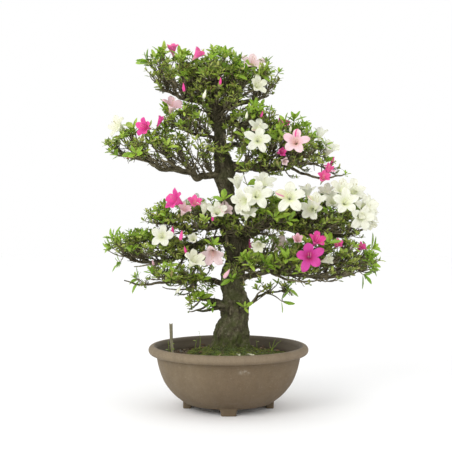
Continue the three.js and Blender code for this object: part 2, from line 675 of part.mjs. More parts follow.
const flower = flowerGeometry();
const numbered = {};
for (const entry of FLOWERS) {
  const [colour, , , facing] = entry;
  numbered[colour] = (numbered[colour] ?? 0) + 1;
  const made = placed(flower, point(facing).normalize(), flowerMouth(entry));
  piece(`flower_${colour}_${numbered[colour]}`, made, MATERIALS[colour]);
  standing.push(made);
}

const carriers = FLOWERS.map((entry) => sprayOf(entry, standing));
const frames = Object.entries(SPRAYS).map(([name, spray]) =>
  sprayFrame(spray, standing, FLOWERS.filter((_, i) => carriers[i] === name)),
);
Object.entries(SPRAYS).forEach(([name, spray], i) => {
  const others = frames.filter((_, k) => k !== i).flat();
  const made = spraySolid(spray, frames[i], [...standing, ...others]);
  piece("leaves_" + name, made, MATERIALS.leaves);
  standing.push(made);
});

// The origin goes under the middle of the whole plant, on the ground.
const extent = new THREE.Box3().setFromObject(plant);
const middle = extent.getCenter(new THREE.Vector3());
plant.position.set(-middle.x, -middle.y, -extent.min.z);

const bonsai = new THREE.Group();
bonsai.add(plant);

export default bonsai;
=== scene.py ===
import bmesh
import bpy
import numpy as np
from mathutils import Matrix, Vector


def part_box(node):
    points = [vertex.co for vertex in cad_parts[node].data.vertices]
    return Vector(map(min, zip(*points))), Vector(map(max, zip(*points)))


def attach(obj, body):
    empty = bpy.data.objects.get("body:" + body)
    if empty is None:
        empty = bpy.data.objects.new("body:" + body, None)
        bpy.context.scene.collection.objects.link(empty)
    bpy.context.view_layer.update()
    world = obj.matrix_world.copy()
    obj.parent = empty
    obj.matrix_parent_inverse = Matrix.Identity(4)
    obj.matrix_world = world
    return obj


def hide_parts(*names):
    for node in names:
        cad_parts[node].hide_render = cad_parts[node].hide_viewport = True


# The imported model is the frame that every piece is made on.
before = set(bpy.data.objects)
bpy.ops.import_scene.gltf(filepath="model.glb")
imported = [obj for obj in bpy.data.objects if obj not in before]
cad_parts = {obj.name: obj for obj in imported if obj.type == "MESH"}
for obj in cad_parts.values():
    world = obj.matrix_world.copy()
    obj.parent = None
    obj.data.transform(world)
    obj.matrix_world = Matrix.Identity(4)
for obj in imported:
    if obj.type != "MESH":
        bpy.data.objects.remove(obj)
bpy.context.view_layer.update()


# ---------------------------------------------------------------- camera
# The camera stands two metres in front of the pot's axis, at the height of the lower branches, with a long
# lens. The pot's axis is the line that every place on the plant is given from.
CAMERA_STAND, CAMERA_LOOK = (-0.005, -2.0, 0.405), (0, 2.0, -0.041)
pot_low, pot_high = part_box("pot")
AXIS = np.array([(pot_low.x + pot_high.x) / 2, (pot_low.y + pot_high.y) / 2, 0.0])

lens = bpy.data.cameras.new("camera")
lens.lens, lens.sensor_width = 79.6, 36.0
lens.clip_start, lens.clip_end = 0.05, 60.0
camera = bpy.data.objects.new("camera", lens)
camera.location = AXIS + CAMERA_STAND
camera.rotation_euler = Vector(CAMERA_LOOK).to_track_quat("-Z", "Y").to_euler()
bpy.context.scene.collection.objects.link(camera)
bpy.context.scene.camera = camera


# ---------------------------------------------------------------- floor and light
# A pale sweep of matt card, a white room, and two large soft lamps: the stronger one stands to the front
# left, the weaker one to the front right.
def node(tree, kind, inputs=None, **settings):
    """Adds a node. Settings are its own properties; inputs are values, or outputs of other nodes to link."""
    made = tree.nodes.new("ShaderNode" + kind)
    for key, value in settings.items():
        setattr(made, key, value)
    for key, value in (inputs or {}).items():
        socket = made.inputs[key]
        if isinstance(value, bpy.types.NodeSocket):
            tree.links.new(value, socket)
        else:
            socket.default_value = (*value, 1) if socket.type == "RGBA" and len(value) == 3 else value
    return made


def finish(name):
    """A new material, its node tree, its shader, and the place on the piece in metres."""
    material = bpy.data.materials.new(name)
    material.use_nodes = True
    tree = material.node_tree
    return material, tree, tree.nodes["Principled BSDF"], node(tree, "TexCoord").outputs["Object"]


def noise(tree, place, scale, detail=4.0, roughness=0.55):
    """Cloudy noise from 0 to 1 with `scale` cells to the metre."""
    inputs = {"Vector": place, "Scale": scale, "Detail": detail, "Roughness": roughness}
    return node(tree, "TexNoise", inputs).outputs["Fac"]


def ramp(tree, factor, *stops):
    """A colour, or a grey where a stop is one number, that runs through stops (place, colour)."""
    made = node(tree, "ValToRGB", {"Fac": factor})
    ends = made.color_ramp.elements
    colours = [(p, c if isinstance(c, tuple) else (c, c, c)) for p, c in stops]
    ends[0].position, ends[0].color = colours[0][0], (*colours[0][1], 1)
    ends[1].position, ends[1].color = colours[-1][0], (*colours[-1][1], 1)
    for place, colour in colours[1:-1]:
        ends.new(place).color = (*colour, 1)
    return made.outputs["Color"]


def blend(tree, factor, first, second, how="MIX"):
    """Two colours mixed by a factor."""
    return node(tree, "Mix", {0: factor, 6: first, 7: second}, data_type="RGBA", blend_type=how).outputs[2]


def dress(tree, shader, colour, rough, relief, others=None):
    """Sets a shader: its colour, its roughness, a relief (height from 0 to 1, strength, distance in metres),
    and its other sockets by name. A value is set on the socket itself, an output is linked to it."""
    height, strength, distance = relief
    raised = node(tree, "Bump", {"Height": height, "Strength": strength, "Distance": distance})
    sockets = {"Base Color": colour, "Roughness": rough, "Normal": raised.outputs["Normal"], **(others or {})}
    for key, value in sockets.items():
        if isinstance(value, bpy.types.NodeSocket):
            tree.links.new(value, shader.inputs[key])
        else:
            shader.inputs[key].default_value = value


card, tree, shader, place = finish("matt_card")
white = ramp(tree, noise(tree, place, 3.0), (0.3, 0.985), (0.7, 0.995))
dress(tree, shader, white, 0.9, (noise(tree, place, 900.0), 0.05, 0.0002))
FLOOR_REACH, FLOOR_ROWS = 6.0, 25
side = np.linspace(-FLOOR_REACH, FLOOR_REACH, FLOOR_ROWS)
corners = np.stack([*np.meshgrid(side, side), np.zeros((FLOOR_ROWS, FLOOR_ROWS))], -1).reshape(-1, 3)
corner = (np.arange(FLOOR_ROWS - 1)[:, None] * FLOOR_ROWS + np.arange(FLOOR_ROWS - 1)).ravel()
next_row = corner + FLOOR_ROWS
sweep = bpy.data.meshes.new("floor")
sweep.from_pydata(corners.tolist(), [], np.stack([corner, corner + 1, next_row + 1, next_row], -1).tolist())
sweep.materials.append(card)
floor = bpy.data.objects.new("floor", sweep)
bpy.context.scene.collection.objects.link(floor)

room = bpy.data.worlds.new("white_room")
room.use_nodes = True
room.node_tree.nodes["Background"].inputs["Color"].default_value = (1.0, 1.0, 1.0, 1)
room.node_tree.nodes["Background"].inputs["Strength"].default_value = 1.0
bpy.context.scene.world = room
bpy.context.scene.view_settings.view_transform = "Standard"

# Each lamp: where it stands from the pot's axis, its size in metres and its power in watts.
LAMPS = {"lamp_left": ((-1.7, -2.3, 1.9), 1.5, 38.0), "lamp_right": ((2.0, -1.8, 1.2), 1.2, 8.0)}
MIDDLE_OF_PLANT = (0, 0, 0.38)
for name, (stand, size, power) in LAMPS.items():
    lamp = bpy.data.lights.new(name, "AREA")
    lamp.shape, lamp.size, lamp.energy = "SQUARE", size, power
    stood = bpy.data.objects.new(name, lamp)
    stood.location = AXIS + stand
    stood.rotation_euler = (Vector(MIDDLE_OF_PLANT) - Vector(stand)).to_track_quat("-Z", "Y").to_euler()
    bpy.context.scene.collection.objects.link(stood)


# ---------------------------------------------------------------- pot
# A round bowl of unglazed brown clay with a rolled rim, a low foot ring and four bracket feet, pressed in a
# mould and fired in one piece. Its roll is painted paler, partly greyer clay and partly a painted highlight;
# its left side is painted paler, painted light from the left lamp; and it is darker towards the foot.
POT_OUTSIDE = [(88.5, 13.2), (92.5, 16), (100, 21.5), (108, 28), (119, 40), (128, 53), (134, 66), (138.5, 79),
               (141.5, 91), (143.6, 102), (144.2, 108)]
POT_INSIDE = [(137, 108), (136.8, 100), (134.5, 88), (131, 76), (126, 64), (120, 52), (111, 40), (100, 30),
              (90, 24.5), (82, 22.4), (70, 22), (44, 22)]
RIM_MIDDLE, RIM_ROLL = (151.0, 117.0), 9.0
DRAIN = 18.5
FOOT_HEIGHT, FOOT_WIDTH, FOOT_FLARE, FOOT_DEPTH, FOOT_FACE = 17.5, 30.0, 13.0, 17.0, 91.0
POT_COLUMNS, OUTSIDE_ROWS, INSIDE_ROWS, ROLL_ROWS, ROLL_OUTER_ROWS = 180, 44, 40, 30, 22
POT_BROWN, POT_PALE, POT_DARK = (0.154, 0.110, 0.064), (0.262, 0.205, 0.138), (0.096, 0.068, 0.040)
# A patch of lime bloom on the wall: its place from the axis in metres, and its size, told by how many times
# it goes into a metre each way.
BLOOM_AT, BLOOM_SHRINK = (0.028, -0.139, 0.093), (65, 40, 150)


def spline(knots, count):
    """A smooth path through knots (n, d): Catmull-Rom, where each point is on the cubic of the four knots
    nearest to it."""
    knots = np.asarray(knots, float)
    padded = np.concatenate([[2 * knots[0] - knots[1]], knots, [2 * knots[-1] - knots[-2]]])
    at = np.linspace(0, len(knots) - 1, count)
    start = np.minimum(at.astype(int), len(knots) - 2)
    t = (at - start)[:, None]
    a, b, c, d = (padded[start + k] for k in range(4))
    return 0.5 * (2 * b + (c - a) * t + (2 * a - 5 * b + 4 * c - d) * t**2 + (3 * b - a - 3 * c + d) * t**3)


def quads(rows, columns, around=True, ends_meet=False):
    """The faces of a grid of corners, row by row; `around` joins its last column to its first, `ends_meet`
    its last row to its first."""
    i = np.arange(rows if ends_meet else rows - 1)[:, None]
    j = np.arange(columns if around else columns - 1)[None, :]
    below, left = (i + 1) % rows, (j + 1) % columns
    corners = [i * columns + j, i * columns + left, below * columns + left, below * columns + j]
    return np.stack(corners, -1).reshape(-1, 4)


def make_piece(name, points, faces, material, slot, replaced=(), smooth_angle=None, poles=False,
               **attributes):
    """A piece that rides on the root, from points in millimetres from the pot's axis and arrays of faces.
    Each attribute holds a colour (n, 4) or a vector (n, 3) for every point. Edges sharper than
    `smooth_angle` degrees stay sharp, and `poles` merges each row of corners that lie in one point."""
    points = points.reshape(-1, 3) / 1000 + AXIS
    faces = faces if isinstance(faces, list) else [faces]
    mesh = bpy.data.meshes.new(name)
    sizes = np.concatenate([np.full(len(f), f.shape[1]) for f in faces])
    corners = np.concatenate([f.ravel() for f in faces])
    mesh.vertices.add(len(points))
    mesh.vertices.foreach_set("co", np.asarray(points, np.float32).ravel())
    mesh.loops.add(len(corners))
    mesh.loops.foreach_set("vertex_index", corners.astype(np.int32))
    mesh.polygons.add(len(sizes))
    mesh.polygons.foreach_set("loop_start", np.concatenate([[0], np.cumsum(sizes)[:-1]]).astype(np.int32))
    mesh.update(calc_edges=True)
    for key, values in attributes.items():
        kind, field = ("FLOAT_COLOR", "color") if values.shape[1] == 4 else ("FLOAT_VECTOR", "vector")
        mesh.attributes.new(key, kind, "POINT").data.foreach_set(field, values.astype(np.float32).ravel())
    if poles:
        form = bmesh.new()
        form.from_mesh(mesh)
        bmesh.ops.remove_doubles(form, verts=form.verts, dist=1e-7)
        form.to_mesh(mesh)
        form.free()
    mesh.shade_smooth()
    if smooth_angle:
        mesh.set_sharp_from_angle(angle=np.radians(smooth_angle))
    mesh.materials.append(material)
    made = bpy.data.objects.new(name, mesh)
    bpy.context.scene.collection.objects.link(made)
    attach(made, "root")
    if replaced:
        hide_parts(*replaced)
    return made


def circle(count):
    """Angles spaced evenly round a full turn."""
    return np.arange(count) * 2 * np.pi / count


def turned(profile, columns, wobble=0.0):
    """A profile (r, z) in millimetres turned about the axis: (r cos a, r sin a, z), with r a trace out of
    round by `wobble`."""
    a = circle(columns)
    r = profile[:, :1] * (1 + wobble * (np.sin(2 * a + 0.6) + 0.5 * np.sin(3 * a)))
    return np.stack([r * np.cos(a), r * np.sin(a), profile[:, 1:] + 0 * r], -1)


def bracket_feet():
    """Four feet, each a stack of squarish rings |x/w|^5 + |y/d|^5 = 1 whose width flares towards the bowl."""
    heights = np.array([0, 0, 1.2, 3.5, 6.5, 9.5, 12, 14, 15.6, FOOT_HEIGHT, FOOT_HEIGHT])
    inset = np.array([0, 0.93, 1, 1, 1, 1, 1, 1, 1, 1, 0])
    a = circle(40)
    ring = [np.sign(f(a)) * np.abs(f(a)) ** 0.4 for f in (np.cos, np.sin)]
    width = (FOOT_WIDTH + FOOT_FLARE * np.clip((heights - 5) / 10.5, 0, 1) ** 2.2) / 2 * inset
    x = width[:, None] * ring[0]
    y = (FOOT_DEPTH / 2 * inset)[:, None] * ring[1] - FOOT_FACE + FOOT_DEPTH / 2
    z = heights[:, None] + 0 * x
    made = []
    for turn in np.arange(4) * np.pi / 2:
        east, north = x * np.cos(turn) - y * np.sin(turn), x * np.sin(turn) + y * np.cos(turn)
        made.append(np.stack([east, north, z], -1))
    return made


def tinted(*channels):
    """Four numbers for every point, from four numbers or arrays, as make_piece takes a colour."""
    return np.stack(np.broadcast_arrays(*channels), -1)


def fade(tree, value, start, end, least, most):
    """A number that goes from `least` to `most` while the value goes from start to end."""
    return node(tree, "MapRange", {"Value": value, 1: start, 2: end, 3: least, 4: most}).outputs[0]


def times(tree, first, second):
    """Two colours or masks multiplied."""
    return blend(tree, 1.0, first, second, "MULTIPLY")


def drawn_in(tree, place, scale):
    """A place multiplied by a scale for each axis, so that a pattern runs long where its scale is small."""
    return node(tree, "Mapping", {"Vector": place, "Scale": scale}).outputs[0]


roll_angle = np.radians(np.linspace(-138, 186, ROLL_ROWS))
roll = RIM_MIDDLE + RIM_ROLL * np.stack([np.cos(roll_angle), np.sin(roll_angle)], -1)
under = np.array([(DRAIN, 15), (19.5, 14.6), (30, 14.6), (52, 14.6), (71, 14.8), (74, 14), (75.5, 12.4),
                  (78, 12), (84, 12), (87, 12.4)])
drain = np.array([(22, 22), (19.4, 21.7), (DRAIN, 21)])
outside, inside = spline(POT_OUTSIDE, OUTSIDE_ROWS), spline(POT_INSIDE, INSIDE_ROWS)
profile = np.concatenate([under, outside, roll, inside, drain])
bowl = turned(profile, POT_COLUMNS, 0.0012)
points = bowl.reshape(-1, 3)
faces = [quads(len(profile), POT_COLUMNS, ends_meet=True)]
for foot in bracket_feet():
    faces.append(quads(*foot.shape[:2]) + len(points))
    points = np.concatenate([points, foot.reshape(-1, 3)])
# The wall counts as inside from the top of the roll inwards.
within = np.zeros(len(points))
within[(len(under) + OUTSIDE_ROWS + ROLL_OUTER_ROWS) * POT_COLUMNS:len(profile) * POT_COLUMNS] = 1.0

clay, tree, shader, place = finish("unglazed_clay")
side_on, _, height = node(tree, "SeparateXYZ", {"Vector": place}).outputs
clouds = noise(tree, place, 14.0, 6.0, 0.6)
colour = ramp(tree, clouds, (0.3, (0.140, 0.100, 0.059)), (0.55, POT_BROWN), (0.75, (0.182, 0.134, 0.083)))
# The roll and rim are painted paler: partly greyer clay, partly a painted highlight on the top of the roll.
colour = blend(tree, fade(tree, height, 0.106, 0.116, 0.0, 0.62), colour, POT_PALE)
# The wall is painted darker towards the foot.
colour = blend(tree, fade(tree, height, 0.075, 0.008, 0.0, 0.42), colour, POT_DARK)
# Painted light: the left half of the bowl, which the left lamp lights, is painted paler.
axis_x = float(AXIS[0])
colour = blend(tree, fade(tree, side_on, axis_x, axis_x - 0.16, 0.0, 0.45), colour, (0.265, 0.215, 0.135))
streak = noise(tree, drawn_in(tree, place, (70, 70, 5)), 1.0, 5.0)
colour = blend(tree, ramp(tree, streak, (0.42, 0.0), (0.75, 0.30)), colour, POT_DARK)
grit = noise(tree, place, 1400.0, 2.0)
colour = blend(tree, ramp(tree, grit, (0.36, 0.55), (0.47, 0.0)), colour, (0.07, 0.05, 0.032))
colour = blend(tree, ramp(tree, grit, (0.6, 0.0), (0.72, 0.45)), colour, (0.38, 0.32, 0.24))
bits = node(tree, "TexVoronoi", {"Vector": place, "Scale": 130.0}).outputs["Distance"]
colour = blend(tree, ramp(tree, bits, (0.05, 0.8), (0.11, 0.0)), colour, (0.36, 0.30, 0.22))
far = node(tree, "VectorMath", {0: place, 1: tuple(-(AXIS + BLOOM_AT))}, operation="ADD").outputs[0]
far = node(tree, "VectorMath", {0: far, 1: BLOOM_SHRINK}, operation="MULTIPLY").outputs[0]
far = node(tree, "VectorMath", {0: far}, operation="LENGTH").outputs["Value"]
crust = ramp(tree, noise(tree, place, 160.0, 5.0, 0.7), (0.45, 0.0), (0.66, 0.75))
colour = blend(tree, times(tree, ramp(tree, far, (0.2, 1.0), (1.0, 0.0)), crust), colour, (0.44, 0.40, 0.33))
# The inner wall is painted darker and greyer: partly damp clay, partly painted shade in the hollow of the
# bowl.
inner_wall = node(tree, "Attribute", attribute_name="within").outputs["Color"]
colour = blend(tree, inner_wall, colour, (0.125, 0.102, 0.072))
rough = ramp(tree, noise(tree, place, 60.0, 5.0), (0.3, 0.62), (0.7, 0.86))
rings = noise(tree, drawn_in(tree, place, (6, 6, 260)), 1.0, 3.0)
relief = blend(tree, 0.5, noise(tree, place, 520.0, 5.0, 0.7), rings)
dress(tree, shader, colour, rough, (relief, 0.22, 0.0010), {"Specular IOR Level": 0.3})
make_piece("pot", points, faces, clay, "pot", ["pot"], 50, True, within=tinted(within, within, within, 1.0))


# ---------------------------------------------------------------- drainage
# A square of plastic mesh over the drain hole, the bent wire that clips it, the wire that ties the roots
# down through the floor, and a layer of coarse gravel: none of it shows once the pot is filled.
def give(name, material):
    """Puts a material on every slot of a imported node."""
    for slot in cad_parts[name].material_slots:
        slot.material = material


mesh_plastic, tree, shader, place = finish("mesh_plastic")
colour = ramp(tree, noise(tree, place, 300.0), (0.35, (0.018, 0.018, 0.016)), (0.7, (0.04, 0.04, 0.036)))
rough = ramp(tree, noise(tree, place, 700.0), (0.3, 0.42), (0.7, 0.6))
dress(tree, shader, colour, rough, (noise(tree, place, 1500.0), 0.2, 0.0002))
give("drain_screen", mesh_plastic)

wire, tree, shader, place = finish("soft_aluminium_wire")
colour = ramp(tree, noise(tree, place, 260.0, 6.0), (0.35, (0.30, 0.29, 0.26)), (0.65, (0.52, 0.51, 0.48)))
rough = ramp(tree, noise(tree, place, 500.0), (0.3, 0.32), (0.7, 0.55))
dress(tree, shader, colour, rough, (noise(tree, place, 2200.0), 0.15, 0.0001), {"Metallic": 0.9})
for name in ("screen_clip", "anchor_wire"):
    give(name, wire)

pumice, tree, shader, place = finish("pumice_gravel")
stones = node(tree, "TexVoronoi", {"Vector": place, "Scale": 190.0})
each = ramp(tree, stones.outputs["Color"], (0.2, (0.09, 0.07, 0.055)), (0.8, (0.26, 0.22, 0.17)))
dusty = ramp(tree, noise(tree, place, 900.0), (0.3, 0.0), (0.7, 0.6))
dress(tree, shader, blend(tree, dusty, each, (0.15, 0.12, 0.09)), 0.95,
      (stones.outputs["Distance"], 0.8, 0.003))
give("gravel_layer", pumice)


# ---------------------------------------------------------------- soil
# Dark, gritty potting soil fills the bowl to a finger's width below the rim. It lies open at the left of the
# pot, with loose grains and crumbs on it, and under the moss elsewhere.
SOIL_TOP, SOIL_RADIUS, SOIL_COLUMNS = 102.5, 136.6, 160
SOIL_EDGE = [(136.4, 99), (134.2, 89), (130.6, 77), (125.6, 65), (119.4, 53), (110.4, 41), (104, 37.5),
             (60, 37), (0, 37)]


def ripples(points, size, seed, waves=28):
    """Smooth noise between about -1 and 1: the sum of sine waves that run in random directions, each about
    `size` long, divided by the root of half their number times 1.6."""
    rng = np.random.default_rng(seed)
    way = rng.normal(size=(waves, points.shape[-1]))
    way /= np.linalg.norm(way, axis=1, keepdims=True) * size * rng.uniform(0.65, 1.5, (waves, 1))
    phase = rng.uniform(0, 2 * np.pi, waves)
    return np.sin(points @ way.T * 2 * np.pi + phase).sum(-1) / (1.6 * np.sqrt(waves / 2))


def scatter_stones(places, sizes, seed):
    """Rough little stones: an icosahedron at each place whose twelve corners are pushed in and out, squashed,
    turned and sized at random. Returns points and faces."""
    rng = np.random.default_rng(seed)
    g = (1 + 5**0.5) / 2
    ball = np.array([(-1, g, 0), (1, g, 0), (-1, -g, 0), (1, -g, 0), (0, -1, g), (0, 1, g), (0, -1, -g),
                     (0, 1, -g), (g, 0, -1), (g, 0, 1), (-g, 0, -1), (-g, 0, 1)]) / np.hypot(1, g)
    sides = np.array([(0, 11, 5), (0, 5, 1), (0, 1, 7), (0, 7, 10), (0, 10, 11), (1, 5, 9), (5, 11, 4),
                      (11, 10, 2), (10, 7, 6), (7, 1, 8), (3, 9, 4), (3, 4, 2), (3, 2, 6), (3, 6, 8),
                      (3, 8, 9), (4, 9, 5), (2, 4, 11), (6, 2, 10), (8, 6, 7), (9, 8, 1)])
    turn = np.linalg.qr(rng.normal(size=(len(places), 3, 3)))[0]
    turn *= np.sign(np.linalg.det(turn))[:, None, None]
    shape = ball * rng.uniform(0.72, 1.18, (len(places), 12, 1)) * rng.uniform(0.6, 1.1, (len(places), 1, 3))
    points = places[:, None] + np.einsum("nij,nkj->nki", turn, shape) * np.reshape(sizes, (-1, 1, 1))
    return points.reshape(-1, 3), (sides + 12 * np.arange(len(places))[:, None, None]).reshape(-1, 3)


a = circle(SOIL_COLUMNS)
r = np.concatenate([[0.0], np.linspace(2.4, SOIL_RADIUS, 62)])
flat = np.stack([r[:, None] * np.cos(a), r[:, None] * np.sin(a)], -1)
lumps = 1.7 * ripples(flat, 55, 1) + 0.9 * ripples(flat, 14, 2) + 0.5 * ripples(flat, 5, 3)
lumps = lumps * np.clip((SOIL_RADIUS - r[:, None]) / 3 + 0.3, 0, 1) * np.clip(r[:, None] / 4, 0, 1)
top = np.concatenate([flat, (SOIL_TOP + lumps)[..., None]], -1)
skin = np.concatenate([turned(np.array(SOIL_EDGE), SOIL_COLUMNS)[::-1], top[::-1]])

soil, tree, shader, place = finish("gritty_soil")
crumbs = node(tree, "TexVoronoi", {"Vector": place, "Scale": 420.0})
colour = ramp(tree, noise(tree, place, 70.0, 5.0), (0.3, (0.030, 0.020, 0.011)),
              (0.5, (0.062, 0.043, 0.025)), (0.72, (0.115, 0.088, 0.055)))
colour = blend(tree, ramp(tree, crumbs.outputs["Color"], (0.35, 0.0), (0.9, 0.5)), colour,
               (0.15, 0.115, 0.075))
rough = ramp(tree, noise(tree, place, 200.0), (0.3, 0.8), (0.7, 1.0))
dress(tree, shader, colour, rough, (crumbs.outputs["Distance"], 0.9, 0.0016), {"Specular IOR Level": 0.2})
make_piece("soil", skin, quads(len(skin), SOIL_COLUMNS), soil, "soil", ["soil"], poles=True)

GRAINS, GRAIN_REACH = 2600, 133
rng = np.random.default_rng(11)
r = GRAIN_REACH * np.sqrt(rng.uniform(0.30, 1.0, GRAINS))
a = rng.uniform(0, 2 * np.pi, GRAINS)
flat = np.stack([r * np.cos(a), r * np.sin(a)], -1)
size = 0.5 + 1.5 * rng.random(GRAINS) ** 3
height = SOIL_TOP + 0.3 + 1.7 * ripples(flat, 55, 1) + 0.9 * ripples(flat, 14, 2)
points, faces = scatter_stones(np.concatenate([flat, height[:, None]], -1), size, 12)
grains, tree, shader, place = finish("soil_grains")
each = node(tree, "TexVoronoi", {"Vector": place, "Scale": 210.0}).outputs["Color"]
colour = ramp(tree, each, (0.15, (0.035, 0.024, 0.014)), (0.5, (0.095, 0.070, 0.045)),
              (0.8, (0.20, 0.155, 0.10)), (0.95, (0.33, 0.29, 0.22)))
rough = ramp(tree, noise(tree, place, 900.0), (0.3, 0.75), (0.7, 0.98))
dress(tree, shader, colour, rough, (noise(tree, place, 1800.0), 0.4, 0.0004))
make_piece("soil_grains", points, faces, grains, "soil", smooth_angle=30)


# ---------------------------------------------------------------- moss
# Cushion moss over most of the soil, climbing to the foot of the trunk. It is a living mat of lumpy cushions
# set with short upright shoots, painted dark at their feet and yellow green on their tops: partly older stems
# and fresh tips, partly painted shade down between the shoots.
MOSS_RISE, MOSS_RADIUS, MOSS_TRUNK, MOSS_COLUMNS = 31.0, 119.0, 30.0, 200
# The mat's middle lies a little to the right of the pot's.
MOSS_ASIDE = 4


def moss_edge(a):
    """How far the mat reaches at an angle: its radius waves, and is pulled in at the left, where the soil
    lies bare."""
    waves = 0.05 * np.sin(3 * a + 1) + 0.035 * np.sin(7 * a)
    return MOSS_RADIUS * (1 + waves - 0.24 * np.exp(-((np.abs(a - np.pi) / 0.55) ** 2)))


def on_mat(share, a):
    """A place on the mat: at an angle from its middle, a share of the way out to its edge."""
    reach = share * moss_edge(a)
    return reach * np.cos(a) + MOSS_ASIDE * (1 - share), reach * np.sin(a)


def moss_height(x, y):
    """The mat's top: a mound that falls from the trunk to its edge, with cushions |ripples| on it."""
    r, a = np.hypot(x - MOSS_ASIDE, y), np.arctan2(y, x) % (2 * np.pi)
    share = np.clip(r / moss_edge(a), 0, 1)
    flat = np.stack([x, y], -1)
    cushions = 5.0 * (1 - np.abs(ripples(flat, 42, 21))) + 2.4 * (1 - np.abs(ripples(flat, 17, 22)))
    cushions = cushions + 0.7 * ripples(flat, 6, 23)
    mound = MOSS_RISE * (0.5 * (1 - share**1.5) + 0.5 * np.exp(-((r - MOSS_TRUNK) / 20.0).clip(0) ** 1.4))
    return SOIL_TOP - 3.0 + (mound * 0.82 + cushions * 0.75) * np.clip((1 - share) / 0.10, 0, 1) ** 0.5


share = np.concatenate([[0.0], np.linspace(0.1, 1.0, 84)])[:, None]
x, y = on_mat(share, circle(MOSS_COLUMNS))
top = np.stack([x, y, moss_height(x, y)], -1)
under = np.stack([x[[-1, 0]], y[[-1, 0]], np.full((2, MOSS_COLUMNS), SOIL_TOP - 4.5)], -1)
mat = np.concatenate([top, under])

moss, tree, shader, place = finish("cushion_moss")
lush = noise(tree, place, 34.0, 4.0, 0.6)
colour = ramp(tree, noise(tree, place, 420.0, 4.0, 0.7), (0.3, (0.018, 0.026, 0.006)),
              (0.55, (0.060, 0.090, 0.016)), (0.75, (0.125, 0.165, 0.035)))
colour = blend(tree, ramp(tree, lush, (0.45, 0.0), (0.62, 0.62)), colour, (0.135, 0.215, 0.030))
colour = blend(tree, ramp(tree, noise(tree, place, 58.0, 4.0), (0.56, 0.0), (0.70, 0.7)), colour,
               (0.115, 0.085, 0.045))
dress(tree, shader, colour, ramp(tree, lush, (0.3, 0.85), (0.7, 0.97)),
      (noise(tree, place, 700.0, 6.0, 0.8), 1.0, 0.0022), {"Sheen Weight": 0.15, "Specular IOR Level": 0.15})
faces = quads(len(mat), MOSS_COLUMNS)[:, ::-1]
make_piece("moss_mound", mat, faces, moss, "moss", ["moss_mound"], poles=True)


def marks(tree):
    """The four numbers of a piece's tint, as outputs."""
    tint = node(tree, "Attribute", attribute_name="tint")
    return *node(tree, "SeparateColor", {"Color": tint.outputs["Color"]}).outputs, tint.outputs["Alpha"]


# The shoots are three-sided spindles of seven corners, each a share of its height up.
SHOOT_UP = [0, 0, 0, 0.5, 0.5, 0.5, 1.0]

rng = np.random.default_rng(22)
count = 15000
a = rng.uniform(0, 2 * np.pi, count)
share = np.sqrt(rng.uniform(0.05, 0.985, count))
x, y = on_mat(share, a)
foot = np.stack([x, y, moss_height(x, y) - 0.5], -1)
tall = rng.uniform(1.1, 2.8, count) * (1 + 0.5 * ripples(foot[:, :2], 30, 24))
lean = np.concatenate([rng.normal(0, 0.38, (count, 2)), np.ones((count, 1))], 1)
turn = rng.uniform(0, 2 * np.pi, count)[:, None] + circle(3)
ring = np.stack([np.cos(turn), np.sin(turn), 0 * turn], -1)
base = foot[:, None] + 0.62 * ring
middle = base + 0.45 * (lean * tall[:, None])[:, None] + 0.35 * ring
tip = foot + lean * tall[:, None]
shoots = np.concatenate([base, middle, tip[:, None]], 1)
sides = np.array([(0, 2, 1), (0, 1, 4), (0, 4, 3), (1, 2, 5), (1, 5, 4), (2, 0, 3), (2, 3, 5), (3, 4, 6),
                  (4, 5, 6), (5, 3, 6)])
sides = (sides + len(SHOOT_UP) * np.arange(count)[:, None, None]).reshape(-1, 3)
tone = np.repeat(rng.random(count), len(SHOOT_UP))
up = np.tile(SHOOT_UP, count)
tufts, tree, shader, place = finish("moss_shoots")
own_tone, own_height, _, _ = marks(tree)
# Each shoot is painted dark at its foot and bright at its tip: partly its older stem and fresh tip, partly
# painted shade between the shoots.
colour = ramp(tree, own_height, (0.0, (0.024, 0.030, 0.005)), (0.55, (0.130, 0.170, 0.018)),
              (1.0, (0.310, 0.370, 0.046)))
colour = blend(tree, ramp(tree, own_tone, (0.62, 0.0), (0.85, 0.75)), colour, (0.25, 0.27, 0.07))
colour = blend(tree, ramp(tree, own_tone, (0.05, 0.85), (0.17, 0.0)), colour, (0.105, 0.070, 0.035))
colour = blend(tree, ramp(tree, noise(tree, place, 58.0, 4.0), (0.54, 0.0), (0.66, 0.7)), colour,
               (0.110, 0.078, 0.038))
patches = ramp(tree, noise(tree, place, 52.0, 4.0, 0.6), (0.38, (0.30, 0.30, 0.28)),
               (0.50, (0.72, 0.74, 0.66)), (0.62, (1.0, 1.0, 0.85)))
dress(tree, shader, times(tree, colour, patches), 0.8, (noise(tree, place, 3000.0), 0.3, 0.0003))
make_piece("moss_shoots", shoots, sides, tufts, "moss", tint=tinted(tone, up, tone, 1.0))


# ---------------------------------------------------------------- bamboo peg
# A split of old bamboo pushed into the soil at the left. It is grey green, split along its fibres, paler and
# earth stained at the bottom, and its top is cut off rough.
PEG_WIDE, PEG_THICK, PEG_ROWS, PEG_COLUMNS = 6.6, 4.0, 46, 28


def packed_box(name):
    """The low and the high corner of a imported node's box, in millimetres from the pot's axis."""
    return [1000 * (np.array(corner) - AXIS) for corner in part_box(name)]


def upright(r, a, z):
    """Points (r cos a, r sin a, z), whatever grids the three are given on."""
    return np.stack(np.broadcast_arrays(r * np.cos(a), r * np.sin(a), z), -1)


